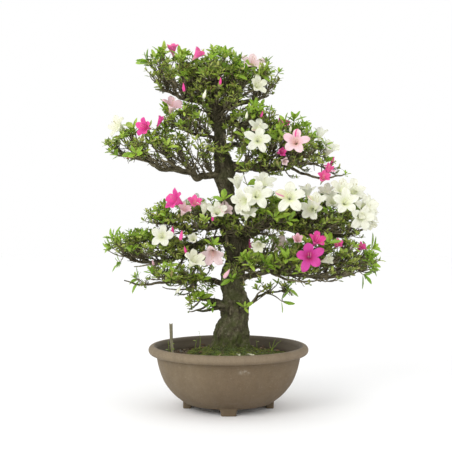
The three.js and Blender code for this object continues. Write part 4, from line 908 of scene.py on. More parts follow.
# Strong new shoots with long bright leaves, by spray: the tip's place as the same shares, the way it points,
# leaf length, and leaves.
SHOOTS_OF = {
    "crown_left": [((-0.9, -0.3, 0.75), (-0.75, -0.3, 0.6), 27, 5),
        ((-0.6, -0.3, 0.85), (-0.3, -0.3, 0.9), 26, 5), ((-0.35, -0.35, 0.95), (0.1, -0.3, 0.95), 26, 5),
        ((0.25, -0.45, 0.9), (0.2, -0.4, 0.9), 21, 6), ((-0.2, -0.4, -0.35), (-0.2, -0.3, 0.9), 18, 4)],
    "apex": [((0.35, -0.3, 0.8), (-0.3, -0.3, 0.9), 27, 6), ((0.7, -0.3, 0.7), (0.6, -0.3, 0.7), 27, 6),
        ((0.6, -0.55, 0.4), (-0.1, -0.6, 0.8), 27, 6)],
    "crown_right": [((-0.2, -0.65, 0.7), (0.4, -0.5, 0.7), 28, 6),
        ((0.3, -0.6, 0.55), (0.9, -0.3, 0.15), 31, 4), ((0.6, -0.3, 0.6), (0.6, -0.2, 0.6), 20, 4)],
    "upper_left": [((-0.3, -0.4, 1), (-0.4, -0.3, 0.85), 24, 5),
        ((-0.6, -0.25, 0.7), (-0.7, -0.2, 0.6), 22, 4), ((0.2, -0.75, 0.7), (0, -0.5, 0.85), 19, 5),
        ((0.6, -0.85, 0.4), (0.1, -0.6, 0.75), 19, 5), ((-0.2, -0.85, 0.15), (0, -0.7, 0.4), 20, 5)],
    "upper_right": [((-0.03, -0.4, 1.18), (0, -0.4, 0.9), 24, 5),
        ((-0.28, -0.55, 1.1), (-0.4, -0.5, 0.7), 22, 5), ((0.25, -0.45, 1.0), (0.6, -0.4, 0.6), 20, 5),
        ((1.4, -0.15, -0.32), (0.2, -0.4, 0.9), 11, 6), ((0.86, -0.3, 0.5), (0.5, -0.4, 0.7), 16, 5)],
    "upper_right_inner": [((-0.35, -0.6, 0), (0.1, -0.7, 0.6), 19, 5),
        ((-0.6, -0.5, -0.9), (0.9, -0.4, 0.1), 24, 4)],
    "mid_left": [((-0.55, -0.5, 0.3), (-0.1, -0.4, 0.9), 22, 5),
        ((0.95, -0.75, 1.1), (-0.2, -0.5, 0.85), 22, 6), ((0.7, -0.6, -0.5), (0.2, -0.6, 0.6), 19, 5)],
    "mid_right_inner": [((-0.2, -1, 0.35), (0.1, -0.6, 0.7), 23, 5),
        ((0.2, -0.9, 0.25), (0.4, -0.6, 0.6), 24, 5), ((-0.9, -0.5, 1.4), (0.2, -0.6, 0.7), 18, 4)],
    "low_left": [((-0.85, -0.15, 0.8), (-0.6, -0.2, 0.75), 20, 5),
        ((-0.92, -0.15, 0.45), (-0.95, -0.2, 0.1), 22, 6), ((-0.7, -0.1, -0.1), (-0.9, -0.2, 0.1), 20, 5)],
    "low_right": [((0.92, 0, 0.8), (0.85, -0.2, 0.3), 22, 6), ((0.88, 0, 0.35), (0.9, -0.2, 0.05), 22, 5),
        ((0.75, -0.1, 0), (0.7, -0.3, -0.3), 21, 5), ((0, -0.75, 1), (0.1, -0.6, 0.8), 20, 5),
        ((-0.75, -0.75, 0.55), (0, -0.7, 0.7), 20, 5)],
    "front_low": [((-0.2, -0.75, 0.7), (0.3, -0.7, 0.5), 20, 5), ((-0.9, 0, -0.2), (0.1, -0.8, 0.4), 18, 5),
        ((0.5, -0.5, 0.6), (0.4, -0.7, 0.5), 20, 5)],
    "lowest_left": [((-0.9, 0, 0.3), (-0.9, -0.2, 0.1), 24, 4), ((0.7, -0.4, 0.4), (0.1, -0.6, 0.7), 20, 5)],
    "stub": [((0.8, -0.3, 0), (0, -0.6, 0.7), 16, 5), ((1.2, -0.2, 0), (0.3, -0.7, 0.5), 14, 4),
        ((0.2, -0.4, 0.6), (0.2, -0.5, 0.7), 20, 6), ((-0.3, -0.3, 0.3), (-0.4, -0.5, 0.6), 18, 5)],
    "lowest_right": [((0.7, -0.3, 0.6), (0.9, -0.2, 0.3), 24, 3),
        ((-1.6, -0.6, -0.8), (0.2, -0.7, 0.6), 15, 5), ((0.4, -0.4, -0.4), (0.8, -0.4, -0.4), 26, 3)],
    "back_mid": [((0.8, 0.8, 0.7), (0.2, 0.7, 0.7), 22, 5)],
    "back_low": [((0.8, 0.3, 0.9), (0.4, 0.7, 0.6), 22, 5)],
    "crown_back": [((-0.9, 0.5, 0.8), (-0.3, 0.6, 0.8), 22, 5), ((0.95, -0.4, 0.8), (0.3, 0.3, 0.9), 22, 5)]}


def on_dome(spray, share):
    """A place in millimetres, from shares of a spray's half width, half depth and height."""
    _, middle, dome, _ = SPRAYS[spray]
    return tuple(np.array(middle) + np.multiply(share, dome))


FLOWERS, BUDS, NEW_SHOOTS = [], [], []
for name, (colour, facing, size, opened) in MODEL_FLOWERS.items():
    low, high = packed_box(name)
    # The box runs from the stalk's foot to the mouth, so the mouth is forward of its middle.
    FLOWERS.append((name, colour, tuple((low + high) / 2 + 15 * np.array(facing)), facing, size, opened))
for spray, own in MORE_FLOWERS.items():
    for k, (colour, share, *rest) in enumerate(own):
        FLOWERS.append((f"{spray}_{k}", colour, on_dome(spray, share), *rest))
for spray, own in SOME_BUDS.items():
    BUDS += [(colour, on_dome(spray, share), *rest) for colour, share, *rest in own]
for spray, own in SHOOTS_OF.items():
    NEW_SHOOTS += [(on_dome(spray, share), *rest) for share, *rest in own]

# Side branches that show: the spray, the path and the radius.
ARMS = [("upper_right", [(107, -22, 487), (140, -32, 470), (180, -36, 460), (212, -32, 462),
                         (230, -28, 467)], (3.4, 1.0)),
        ("lowest_right", [(48, -14, 214), (62, -24, 234), (74, -30, 240), (84, -34, 250)], (1.8, 0.8)),
        ("lowest_right", [(74, -16, 230), (92, -26, 226), (112, -30, 212)], (1.6, 0.8)),
        ("stub", [(-36, -16, 216), (-50, -24, 202), (-66, -26, 197), (-80, -24, 196)], (2.6, 0.9)),
        ("stub", [(-30, -14, 214), (-52, -30, 226), (-70, -40, 244)], (2.6, 1.0)),
        ("lowest_left", [(-60, -32, 258), (-78, -44, 244), (-104, -50, 240), (-128, -48, 246)], (2.6, 0.9)),
        ("low_left", [(-97, -20, 306), (-120, -44, 296), (-150, -56, 288), (-184, -54, 286)], (3.2, 1.0)),
        ("low_left", [(-67, -12, 323), (-90, -40, 330), (-118, -58, 338)], (3.0, 1.0)),
        ("low_right", [(79, -22, 274), (112, -52, 262), (150, -62, 258), (196, -60, 262)], (3.2, 1.0)),
        ("mid_right", [(99, -18, 366), (140, -50, 362), (180, -56, 352), (224, -50, 350)], (4.0, 1.2)),
        ("mid_right_inner", [(63, -12, 362), (84, -40, 372), (104, -62, 376)], (3.4, 1.1)),
        ("mid_left", [(-67, -42, 362), (-88, -60, 352), (-116, -66, 350)], (2.6, 1.0)),
        ("upper_left", [(-77, -12, 471), (-104, -44, 482), (-140, -58, 500), (-176, -56, 516)], (3.2, 1.0)),
        ("upper_left", [(-61, -10, 460), (-70, -30, 486), (-88, -40, 508)], (2.4, 1.0)),
        ("upper_left_inner", [(-36, -4, 543), (-54, -26, 560), (-62, -34, 584)], (2.4, 1.0)),
        ("upper_right", [(53, -14, 482), (78, -44, 496), (112, -58, 512), (140, -60, 530)], (3.6, 1.1)),
        ("upper_right", [(22, -6, 480), (36, -36, 496), (44, -50, 520)], (3.2, 1.1)),
        ("upper_right_inner", [(8, -4, 573), (22, -30, 584), (40, -44, 592)], (2.6, 1.0)),
        ("apex", [(-26, 2, 590), (-12, -26, 612), (4, -46, 640), (14, -56, 668)], (4.0, 1.1)),
        ("apex", [(-32, 0, 626), (-52, -24, 644), (-60, -40, 672)], (3.2, 1.0)),
        ("crown_left", [(-57, -6, 613), (-84, -34, 632), (-116, -50, 652), (-146, -46, 664)], (3.0, 1.0)),
        ("crown_right", [(-2, -4, 603), (30, -36, 622), (60, -48, 636), (84, -44, 646)], (3.4, 1.0))]


def unit(v):
    """Vectors of length one."""
    v = np.asarray(v, float)
    return v / np.linalg.norm(v, axis=-1, keepdims=True)


def arcs(start, finish, heading, rows, rng, stray):
    """Curves from start to finish that arrive in the direction of `heading`: quadratic Bezier curves whose
    middle point lies back from the finish along the heading, with wander that is greatest halfway."""
    reach = np.linalg.norm(finish - start, axis=1, keepdims=True)
    middle = 0.5 * (start + finish) * 0.45 + 0.55 * (finish - heading * reach * 0.45)
    middle = middle + rng.normal(0, 0.05, start.shape) * reach
    t = np.linspace(0, 1, rows)[None, :, None]
    way = (1 - t) ** 2 * start[:, None] + 2 * t * (1 - t) * middle[:, None] + t**2 * finish[:, None]
    return way + rng.normal(0, 1, way.shape) * np.sin(np.pi * t) * stray


# The golden angle in radians: places spaced by it never fall in rows.
GOLDEN = 2.4


def dome_of_tips(middle, dome, full, sides, rng):
    """Shoot tips in a dome x^2 + y^2 + z^2 = 1 stretched to its half width, half depth and height. Clumps of
    four to six are spaced by the golden angle, most of them near the dome's top. Pairs of tips are spread
    over each of its sides (-1 the front or 1 the back, and how many). Returns the tips, the way they grow,
    and their kind: -1 for any, or 0 dull, 1 green, 2 bright."""
    half, deep, high = dome
    clumps = int(half * deep / 350 * full)
    out, turn = np.sqrt(rng.random(clumps)) * 0.97, np.arange(clumps) * GOLDEN + rng.normal(0, 0.3, clumps)
    x, y = out * np.cos(turn), out * np.sin(turn)
    rise = (0.22 + 0.78 * np.sqrt(1 - out**2)) * (1 - 0.62 * rng.random(clumps) ** 1.9)
    of_clump = np.repeat(np.arange(clumps), rng.integers(4, 7, clumps))
    x, y, rise, count = x[of_clump], y[of_clump], rise[of_clump], len(of_clump)
    tips = np.array(middle) + np.stack([x * half, y * deep, rise * high], -1)
    tips = tips + rng.normal(0, 1, (count, 3)) * (6.5, 6.5, 4.5)
    heading = unit(np.stack([x, y, 0.35 + 0.9 * rise], -1) + rng.normal(0, 0.30, (count, 3)))
    found = [(tips, heading, np.full(count, -1))]
    for toward, share in sides:
        k = np.arange(int(half * high / 88 * full * share))
        reach, turn = np.sqrt((k + 0.5) / max(len(k), 1)) * 1.02, k * GOLDEN + 0.1 * half
        u, w = reach * np.cos(turn), 0.42 + 0.60 * reach * np.sin(turn)
        # The lower part of a dome is mostly bare twigs.
        stay = rng.random(len(k)) < np.clip(0.10 + 1.5 * w, 0.1, 1)
        u, w = u[stay], w[stay]
        bulge = np.sqrt(np.clip(1.1 - u**2 - np.clip(w - 0.3, 0, None) ** 2, 0.04, 1))
        forward = toward * bulge * deep * rng.uniform(0.45, 0.95, len(u))
        tuft = np.array(middle) + np.stack([u * half, forward, w * high], -1)
        pairs = np.repeat(np.arange(len(u)), 2)
        tuft = tuft[pairs] + rng.normal(0, 1, (len(pairs), 3)) * (5.5, 5, 4.0)
        lean = np.stack([0.8 * u[pairs], np.full(len(pairs), 0.25 * toward), np.full(len(pairs), 0.85)], -1)
        lean = unit(lean + rng.normal(0, 0.30, tuft.shape))
        age = np.clip((w + 0.15 * u**2 + rng.normal(0, 0.22, len(u))) * 3.1 - 0.25, 0, 2.99).astype(int)
        found.append((tuft, lean, age[pairs]))
    return [np.concatenate(part) for part in zip(*found)]


# The twigs are painted 2.1 times as light: partly paler young wood, partly painted light against the shade
# inside the crown.
twig_bark = bark_finish("twig_bark", 0.1, 2.1)
rng = np.random.default_rng(71)
shoots_of, forks, twigs_of, kind_of = {}, [], {}, {}
# A flower of size 1 is twice this wide, and its stalk ends this far behind its mouth.
FLOWER_REACH, STALK_END = 27, 34.0
_, _, mouths, faced, sizes, _ = zip(*FLOWERS)
mouths, faced, sizes = np.array(mouths, float), unit(faced), np.array(sizes)
broad = sizes * FLOWER_REACH
# Branchlets, stems, spurs, stalks and side branches: rows and columns of each.
(BRANCH_ROWS, BRANCH_COLUMNS), (STEM_ROWS, STEM_COLUMNS), (SPUR_ROWS, SPUR_COLUMNS) = (12, 6), (7, 4), (5, 3)
(STALK_ROWS, STALK_COLUMNS), (ARM_ROWS, ARM_COLUMNS) = (9, 6), (40, 10)
WOOD_ROWS = 120
for name, (limb, middle, dome, full) in SPRAYS.items():
    sides = [(1, 1.0)] if "back" in name else [(-1, 1.0), (1, 0.4)]
    made = [dome_of_tips(middle, dome, full, sides, rng)]
    for wing in WINGS.get(name, []):
        hanging, out, kind = dome_of_tips(*wing, [(-1, 1.0)], rng)
        # Shoots in the shade of a wing stay dull or green.
        made.append((hanging, out, np.clip(kind, 0, 1) * (hanging[:, 2] > wing[0][2] + 0.45 * wing[1][2])))
    tips, heading, kind_of[name] = (np.concatenate(part) for part in zip(*made))
    # Twigs leave room for the flowers: none ends in a flower, or close before its mouth.
    ahead = tips[:, None] - (mouths - 6 * faced)
    along = (ahead * faced).sum(-1)
    aside = np.linalg.norm(ahead - along[..., None] * faced, axis=-1)
    shut = (aside < broad * 0.95) & (along > -12) & (along < 60)
    before = (ahead[..., 1] < 4) & (ahead[..., 1] > -90) & (faced[:, 1] < 0.3)
    shut |= (np.hypot(ahead[..., 0], ahead[..., 2]) < broad * 0.8) & before
    keep = ~shut.any(1)
    tips, heading, kind_of[name] = tips[keep], heading[keep], kind_of[name][keep]
    # Neighbouring tips share a fork: the nearest of every sixth tip, drawn to the middle of its own.
    middles = tips[::6].copy()
    for _ in range(4):
        near = np.linalg.norm(tips[:, None] - middles, axis=-1).argmin(1)
        for k in np.unique(near):
            middles[k] = tips[near == k].mean(0)
    wood = spline(limb[0], WOOD_ROWS)
    size_at = np.interp(np.linspace(0, 1, WOOD_ROWS), np.linspace(0, 1, len(limb[1])), limb[1])
    apart = np.linalg.norm(middles[:, None] - wood, axis=-1)
    back = np.maximum(apart.argmin(1) - (apart.min(1) * 0.45).astype(int), 12)
    spring = wood[back]
    fork = spring + (middles - spring) * 0.62 + rng.normal(0, 2.0, middles.shape) - (0, 0, 4)
    branchlets = arcs(spring, fork, unit(middles - spring), BRANCH_ROWS, rng, 0.9)
    thick = np.clip(apart.min(1) / 40, 0.7, 1.2)[:, None] * np.linspace(1.7, 1.0, BRANCH_ROWS)
    thick = np.minimum(thick, size_at[back][:, None] * 0.8)
    shoots_of[name] = (tips, heading)
    forks.append((name, fork))
    stems = arcs(fork[near], tips, heading, STEM_ROWS, rng, 0.7)
    stem_size = np.linspace(1.15, 0.7, STEM_ROWS) * rng.uniform(0.8, 1.2, (len(tips), 1))
    # Short bare spurs stand along the branchlets and stems, where shoots were pinched off.
    pick = rng.integers(0, len(branchlets), int(len(tips) * 2.4))
    foot = branchlets[pick, rng.integers(3, BRANCH_ROWS, len(pick))]
    outward = unit(rng.normal(0, 1, foot.shape) * (1, 1, 0.6) + (0, 0, 0.7))
    spur_end = foot + outward * rng.uniform(6, 18, (len(pick), 1))
    spur_way = unit(spur_end - foot + rng.normal(0, 3, foot.shape))
    spurs = arcs(foot, spur_end, spur_way, SPUR_ROWS, rng, 0.4)
    spur_size = np.linspace(1.0, 0.5, SPUR_ROWS) * np.ones((len(pick), 1))
    twigs_of[name] = [(branchlets, thick, BRANCH_COLUMNS), (stems, stem_size, STEM_COLUMNS),
                      (spurs, spur_size, SPUR_COLUMNS)]

# Flowers, buds and strong shoots each hang on the nearest fork.
fork_names = np.concatenate([[name] * len(f) for name, f in forks])
fork_places = np.concatenate([f for _, f in forks])
_, bud_tips, bud_ways, bud_lengths = zip(*BUDS)
new_tips, new_ways, new_lengths, new_counts = zip(*NEW_SHOOTS)
bud_ends = np.array(bud_tips) - unit(bud_ways) * (np.array(bud_lengths) + 5)[:, None]
ends = np.concatenate([mouths - faced * STALK_END * sizes[:, None], bud_ends, new_tips])
toward = np.concatenate([faced, unit(bud_ways), unit(new_ways)])
nearest = np.linalg.norm((ends - 8 * toward)[:, None] - fork_places, axis=-1).argmin(1)
stalks = arcs(fork_places[nearest], ends, toward, STALK_ROWS, rng, 0.5)
for name in SPRAYS:
    mine = fork_names[nearest] == name
    parts = list(twigs_of[name])
    if mine.any():
        stalk_size = np.linspace(1.1, 0.75, STALK_ROWS) * np.ones((mine.sum(), 1))
        parts.append((stalks[mine], stalk_size, STALK_COLUMNS))
    for owner, way, (thick, thin) in ARMS:
        if owner == name:
            way = spline(way, ARM_ROWS)
            way = way + 1.2 * wander(way, 20, 400)
            parts.append((way[None], np.linspace(thick, thin, ARM_ROWS)[None], ARM_COLUMNS))
    # Twigs swell a little at each joint.
    swollen = [radii * (1 + 0.12 * np.sin(np.arange(radii.shape[1]) * 2.4)) for _, radii, _ in parts]
    points, faces, grain = together(*[tubes(way, radii, n) for (way, _, n), radii in zip(parts, swollen)])
    make_piece("twigs_" + name, points, faces, twig_bark, "bark", grain=grain / 1000)


# ---------------------------------------------------------------- leaves
# Small leathery leaves in whorls at the ends of the shoots: elliptic, folded a little along the midrib, bent
# back, dark above. New ones are longer, thinner and bright yellow green. Each is a closed form of 16 faces.
LEAF_STATIONS, LEAF_WIDTHS = np.array([0.24, 0.58, 0.86]), np.array([0.66, 1.0, 0.58])
LEAF_CORNERS = 2 + 4 * len(LEAF_STATIONS)
# A whole turn, where things stand round a stem by chance.
WHOLE_TURN = 6.28


def leaves(foot, along, face, length, width, fold, curl, tone, young):
    """A leaf for each foot: point = foot + along * x + side * y + face * (fold |y| - curl x^2), with a middle
    point above and below at each station, so that it has thickness. Returns points, faces and tint."""
    side = unit(np.cross(face, along))
    face = np.cross(along, side)
    x = np.concatenate([[0.0], np.repeat(LEAF_STATIONS, 4), [1.0]])
    y = np.concatenate([[0.0], np.outer(LEAF_WIDTHS, [-1, 0, 1, 0]).ravel(), [0.0]])
    thick = np.concatenate([[0.0], np.tile([0, 0.16, 0, -0.16], 3), [0.0]])
    length, width = length[:, None], width[:, None]
    rise = fold[:, None] * np.abs(y) * width / 2 - curl[:, None] * length * x**2 + thick
    points = foot[:, None] + along[:, None] * (x * length)[..., None]
    points = points + side[:, None] * (y * width / 2)[..., None] + face[:, None] * rise[..., None]
    # Corner 0 is the foot, the last is the tip, and four stand round each station between them.
    k = np.arange(4)
    following = (k + 1) % 4
    ring, left = (1 + 4 * np.arange(2)[:, None] + corner for corner in (k, following))
    four = np.stack([ring, ring + 4, left + 4, left], -1).reshape(-1, 4)
    at_foot = np.stack([0 * k, 1 + k, 1 + following], -1)
    tip = LEAF_CORNERS - 1
    at_tip = np.stack([0 * k + tip, tip - 4 + following, tip - 4 + k], -1)
    three = np.concatenate([at_foot, at_tip])
    step = LEAF_CORNERS * np.arange(len(foot))[:, None, None]
    faces = [(four + step).reshape(-1, 4), (three + step).reshape(-1, 3)]
    tint = tinted(tone[:, None], young[:, None], np.abs(y), x)
    return points.reshape(-1, 3), faces, tint.reshape(-1, 4)


def whorls(tips, heading, count, length, young, rng, shade=0.0):
    """Rings of leaves round shoot tips: leaf k of a ring stands at k turns of 137.5 degrees, leaning out from
    the heading by 35 to 85 degrees, the later ones steeper and shorter. The last is often brownish red."""
    owner = np.repeat(np.arange(len(tips)), count)
    first = np.concatenate([[0], np.cumsum(count)[:-1]])
    k = np.arange(len(owner)) - first[owner]
    axis = heading[owner]
    other = unit(np.cross(axis, (0.36, 0.48, 0.8)))
    third = np.cross(axis, other)
    turn = k * GOLDEN + rng.uniform(0, WHOLE_TURN, len(tips))[owner] + rng.normal(0, 0.25, len(owner))
    age = 1 - k / np.maximum(count[owner], 1)
    lean = np.radians(rng.normal(30, 9, len(owner)) + 38 * age)
    outward = other * np.cos(turn)[:, None] + third * np.sin(turn)[:, None]
    along = unit(axis * np.cos(lean)[:, None] + outward * np.sin(lean)[:, None] + (0, 0, 0.10))
    foot = tips[owner] - axis * (age * 5.0)[:, None]
    size = length[owner] * (0.68 + 0.38 * age) * rng.uniform(0.8, 1.15, len(owner))
    face = unit(axis - along * (axis * along).sum(-1, keepdims=True) + rng.normal(0, 0.16, axis.shape))
    width = size * rng.uniform(0.33, 0.43, len(owner))
    tone = np.clip(rng.random(len(tips))[owner] * 0.45 + rng.random(len(owner)) * 0.36 + shade, 0, 0.79)
    brown = (age < 0.2) & (rng.random(len(tips))[owner] < 0.55) & (young[owner] < 0.6)
    tone = np.where(brown, rng.uniform(0.8, 1.0, len(owner)), tone)
    fresh = np.clip(young[owner] * rng.uniform(0.75, 1.1, len(owner)), 0, 1)
    fold, curl = rng.uniform(0.10, 0.55, len(owner)), rng.uniform(-0.02, 0.26, len(owner))
    return leaves(foot, along, face, size, width, fold, curl, tone, fresh)


leaf, tree, shader, place = finish("azalea_leaf")
tone, young, across, along = marks(tree)
old = ramp(tree, tone, (0.05, (0.050, 0.064, 0.013)), (0.32, (0.135, 0.170, 0.024)),
           (0.55, (0.270, 0.320, 0.046)), (0.76, (0.440, 0.470, 0.130)))
new = ramp(tree, tone, (0.1, (0.190, 0.350, 0.022)), (0.45, (0.310, 0.490, 0.040)),
           (0.8, (0.460, 0.600, 0.090)))
colour = blend(tree, young, old, new)
rusty = times(tree, ramp(tree, tone, (0.80, 0.0), (0.88, 0.8)),
              ramp(tree, noise(tree, place, 45.0, 3.0), (0.40, 0.3), (0.55, 1.0)))
colour = blend(tree, rusty, colour, (0.155, 0.070, 0.030))
colour = blend(tree, ramp(tree, across, (0.0, 0.45), (0.22, 0.0)), colour, (0.30, 0.40, 0.12))
colour = blend(tree, ramp(tree, along, (0.0, 0.5), (0.2, 0.0)), colour, (0.16, 0.12, 0.045))
spots = noise(tree, place, 620.0, 4.0, 0.65)
colour = blend(tree, ramp(tree, spots, (0.35, 0.35), (0.5, 0.0)), colour, (0.030, 0.045, 0.010))
dress(tree, shader, colour, ramp(tree, spots, (0.3, 0.38), (0.7, 0.62)), (spots, 0.35, 0.0004),
      {"Specular IOR Level": 0.35, "Subsurface Weight": 0.25, "Subsurface Radius": (0.0006, 0.0010, 0.0002),
       "Subsurface Scale": 1.0})

rng = np.random.default_rng(83)
new_owner = fork_names[nearest[len(FLOWERS) + len(BUDS):]]
for name, (tips, heading) in shoots_of.items():
    _, middle, dome, _ = SPRAYS[name]
    on_top = np.clip(((tips - middle) / dome) ** 2 @ np.ones(3), 0, 1.2)
    young = np.clip(rng.normal(-0.30, 0.34, len(tips)) + 0.62 * (on_top - 0.45), 0, 1)
    young = young * (rng.random(len(tips)) < 0.75)
    kind = kind_of[name].astype(int)
    young = np.where(kind < 0, young, np.array([0.0, 0.18, 0.85])[kind] * rng.uniform(0.7, 1.2, len(tips)))
    count = rng.integers(4, 7, len(tips)) + (young > 0.6)
    length = rng.uniform(9.5, 14.5, len(tips)) * (1 + 0.55 * young)
    length = np.where(kind == 0, length * 0.85, length)
    shade = np.repeat(np.where(kind == 0, -0.06, np.where(kind == 1, 0.10, 0.0)), count)
    sets = [whorls(tips, heading, count, length, young, rng, shade)]
    mine = new_owner == name
    if mine.any():
        sets.append(whorls(np.array(new_tips)[mine], unit(new_ways)[mine], np.array(new_counts)[mine],
                           np.array(new_lengths)[mine] * 1.3, np.full(mine.sum(), 0.95), rng))
    points, faces, tint = together(*sets)
    make_piece("leaves_" + name, points, faces, leaf, "leaves", ["leaves_" + name], 40, tint=tint)


# ---------------------------------------------------------------- flowers
# Azalea flowers: five petals grown together into a tube, opening to a star as wide as half a hand, with six
# thin stamens, a longer pistil, a small green calyx and a stalk. White ones have a yellow green throat, and
# some are striped, blotched or shaded with pink, as on a plant of mixed blood; others are pink or magenta.
PETAL_ROWS, PETAL_COLUMNS, PETAL_HALF_THICK = 17, 9, 0.17
ALONG = np.linspace(0, 1, PETAL_ROWS)
# A petal's outline at stations along it: how far out and how far up it runs when wide open and when nearly
# shut, and then its half width.
STATIONS = [0, 0.18, 0.36, 0.5, 0.62, 0.75, 0.88, 1]
OPEN_OUT = np.interp(ALONG, STATIONS, [1.7, 4.2, 8.4, 11.6, 15.0, 19.6, 24.4, 28.4])
OPEN_UP = np.interp(ALONG, STATIONS, [-25, -16.5, -9.6, -5.6, -2.8, -0.9, 0.2, -0.8])
SHUT_OUT = np.interp(ALONG, STATIONS, [1.7, 2.5, 4.2, 6.2, 7.8, 9.6, 12.0, 15.0])
SHUT_UP = np.interp(ALONG, STATIONS, [-27, -21.5, -14.5, -7.5, -2, 4, 10, 15])
TIP_STATIONS = [0, 0.50, 0.60, 0.70, 0.80, 0.87, 0.93, 0.975, 1]
HALF_WIDE = np.interp(ALONG, TIP_STATIONS, [20, 8.6, 8.0, 8.6, 8.2, 6.8, 4.7, 2.4, 0.4])


def petals(opened, rng, hue):
    """Five petals. u runs from -1 to 1 across one and v from 0 to 1 along it: the point is (p cos t, p sin t,
    z), with p and z read from the open and the shut outline, t = u times the petal's half angle, and waves
    on its edge. Each is closed by its own back, a third of a millimetre behind."""
    v, u = ALONG[:, None], np.linspace(-1, 1, PETAL_COLUMNS)[None]
    columns, last = 2 * PETAL_COLUMNS, (PETAL_ROWS - 1) * 2 * PETAL_COLUMNS
    j = np.arange(PETAL_COLUMNS - 1)
    back = columns - 1 - j
    ends = [np.stack([j, back, back - 1, j + 1], -1), last + np.stack([j, j + 1, back - 1, back], -1)]
    faces = [np.concatenate([quads(PETAL_ROWS, columns), *ends]), np.zeros((0, 3), int)]
    free = np.clip((v - 0.52) / 0.48, 0, 1)
    built = []
    for k in range(5):
        own = np.clip((opened - 0.5) / 0.5 + rng.normal(0, 0.07), -0.4, 1.1)
        out = (SHUT_OUT + (OPEN_OUT - SHUT_OUT) * own)[:, None]
        out = out * (1 + rng.normal(0, 0.06) * np.clip(v - 0.4, 0, 1) * 1.7)
        up = (SHUT_UP + (OPEN_UP - SHUT_UP) * own)[:, None]
        half = np.arcsin(np.clip(rng.uniform(0.88, 1.12) * HALF_WIDE[:, None] / out, 0, 0.95))
        half = np.minimum(np.radians(36.5 + 3 * (1 - opened)), half)
        t = u * half + 0.04 * rng.normal() * np.clip(v - 0.5, 0, 1)
        phase = rng.uniform(0, WHOLE_TURN, 3)
        lift = free * (-1.6 * u**2 * free + 1.5 * u**2 * np.sin(11 * v + phase[0])
                       + 1.3 * u * np.sin(8 * v + phase[1]))
        lift = lift + 0.9 * free * (1 - free) * 4 * (np.abs(u) - 0.35) * 0.6
        lift = lift - (2.0 + 2.5 * rng.random()) * np.clip(v - 0.84, 0, 1) ** 2 * 20
        p = out + 0.5 * np.sin(phase[2] + 5 * v) * free
        turn = t + k * 2 * np.pi / 5
        sheet = np.stack([p * np.cos(turn), p * np.sin(turn), up + lift + 0.12 * (k % 2)], -1)
        normal = unit(np.cross(np.gradient(sheet, axis=1), np.gradient(sheet, axis=0)) + 1e-9)
        front, behind = sheet + PETAL_HALF_THICK * normal, sheet - PETAL_HALF_THICK * normal
        ring = np.concatenate([front, behind[:, ::-1]], 1)
        across = np.concatenate([u, u[:, ::-1]], 1) * 0.5 + 0.5
        built.append((ring.reshape(-1, 3), faces, tinted(v, across, 0.0, hue[k]).reshape(-1, 4)))
    return together(*built)


# How far the stalk's foot and the pistil's top stand from the mouth.
STALK_FOOT, PISTIL_TOP = -35.0, 12.0


def ribbed_cup(z, radii, a):
    """A calyx: rings of radius r (1 + 0.1 cos 5a) at the heights z."""
    rings = radii[:, None] * (1 + 0.10 * np.cos(5 * a))
    return tubes(np.stack([0 * z, 0 * z, z], -1)[None], rings[None], len(a))


def inside_and_stalk(opened, rng, hue):
    """Six stamens and a pistil as arched threads with a small knob, the calyx as a five-ribbed cup, and the
    stalk. A thread is foot + (end - foot) t, arched to one side by 2.6 t^2 - 1.2 sin(pi t)."""
    n = 6
    turn = rng.uniform(0, WHOLE_TURN, n + 1)
    spread = np.append(rng.uniform(2.6, 4.6, n) * (0.5 + 0.6 * opened), 1.5)
    reach = np.append(rng.uniform(3.0, 8.0, n), PISTIL_TOP)
    t = np.linspace(0, 1, 9)[None, :, None]
    foot = upright(0.7, turn, np.full(n + 1, -24.0))[:, None]
    end = upright(spread, turn, reach)[:, None]
    arch = np.array([1.0, 0, 0]) * 2.6 * t**2 + np.array([-1.0, 0, 0]) * 1.2 * np.sin(np.pi * t)
    threads = foot + (end - foot) * t + arch
    thread = tubes(threads, np.repeat([[0.30, 0.28] + 6 * [0.26] + [0.24]], n + 1, 0), 4)
    onward = unit(threads[:, -1:] - threads[:, -2:-1])
    tip = threads[:, -1:] + np.linspace(-0.3, 1.5, 5)[None, :, None] * onward
    knob = tubes(tip, np.repeat([[0.26, 0.46, 0.54, 0.46, 0.24]], n + 1, 0), 5)
    z = np.array([STALK_FOOT, -31, -28.5, -27.6, -26.4, -24.8, -23.4])
    cup = ribbed_cup(z, np.array([0.75, 0.72, 0.8, 1.7, 2.15, 2.45, 2.35]), circle(15))
    made = []
    for (points, faces, _), part in ((thread, 0.35), (knob, 0.6), (cup, 1.0)):
        height = np.clip((points[:, 2] - STALK_FOOT) / (PISTIL_TOP - STALK_FOOT), 0, 1)
        made.append((points, faces, tinted(height, 0.5, part, hue)))
    return together(*made)


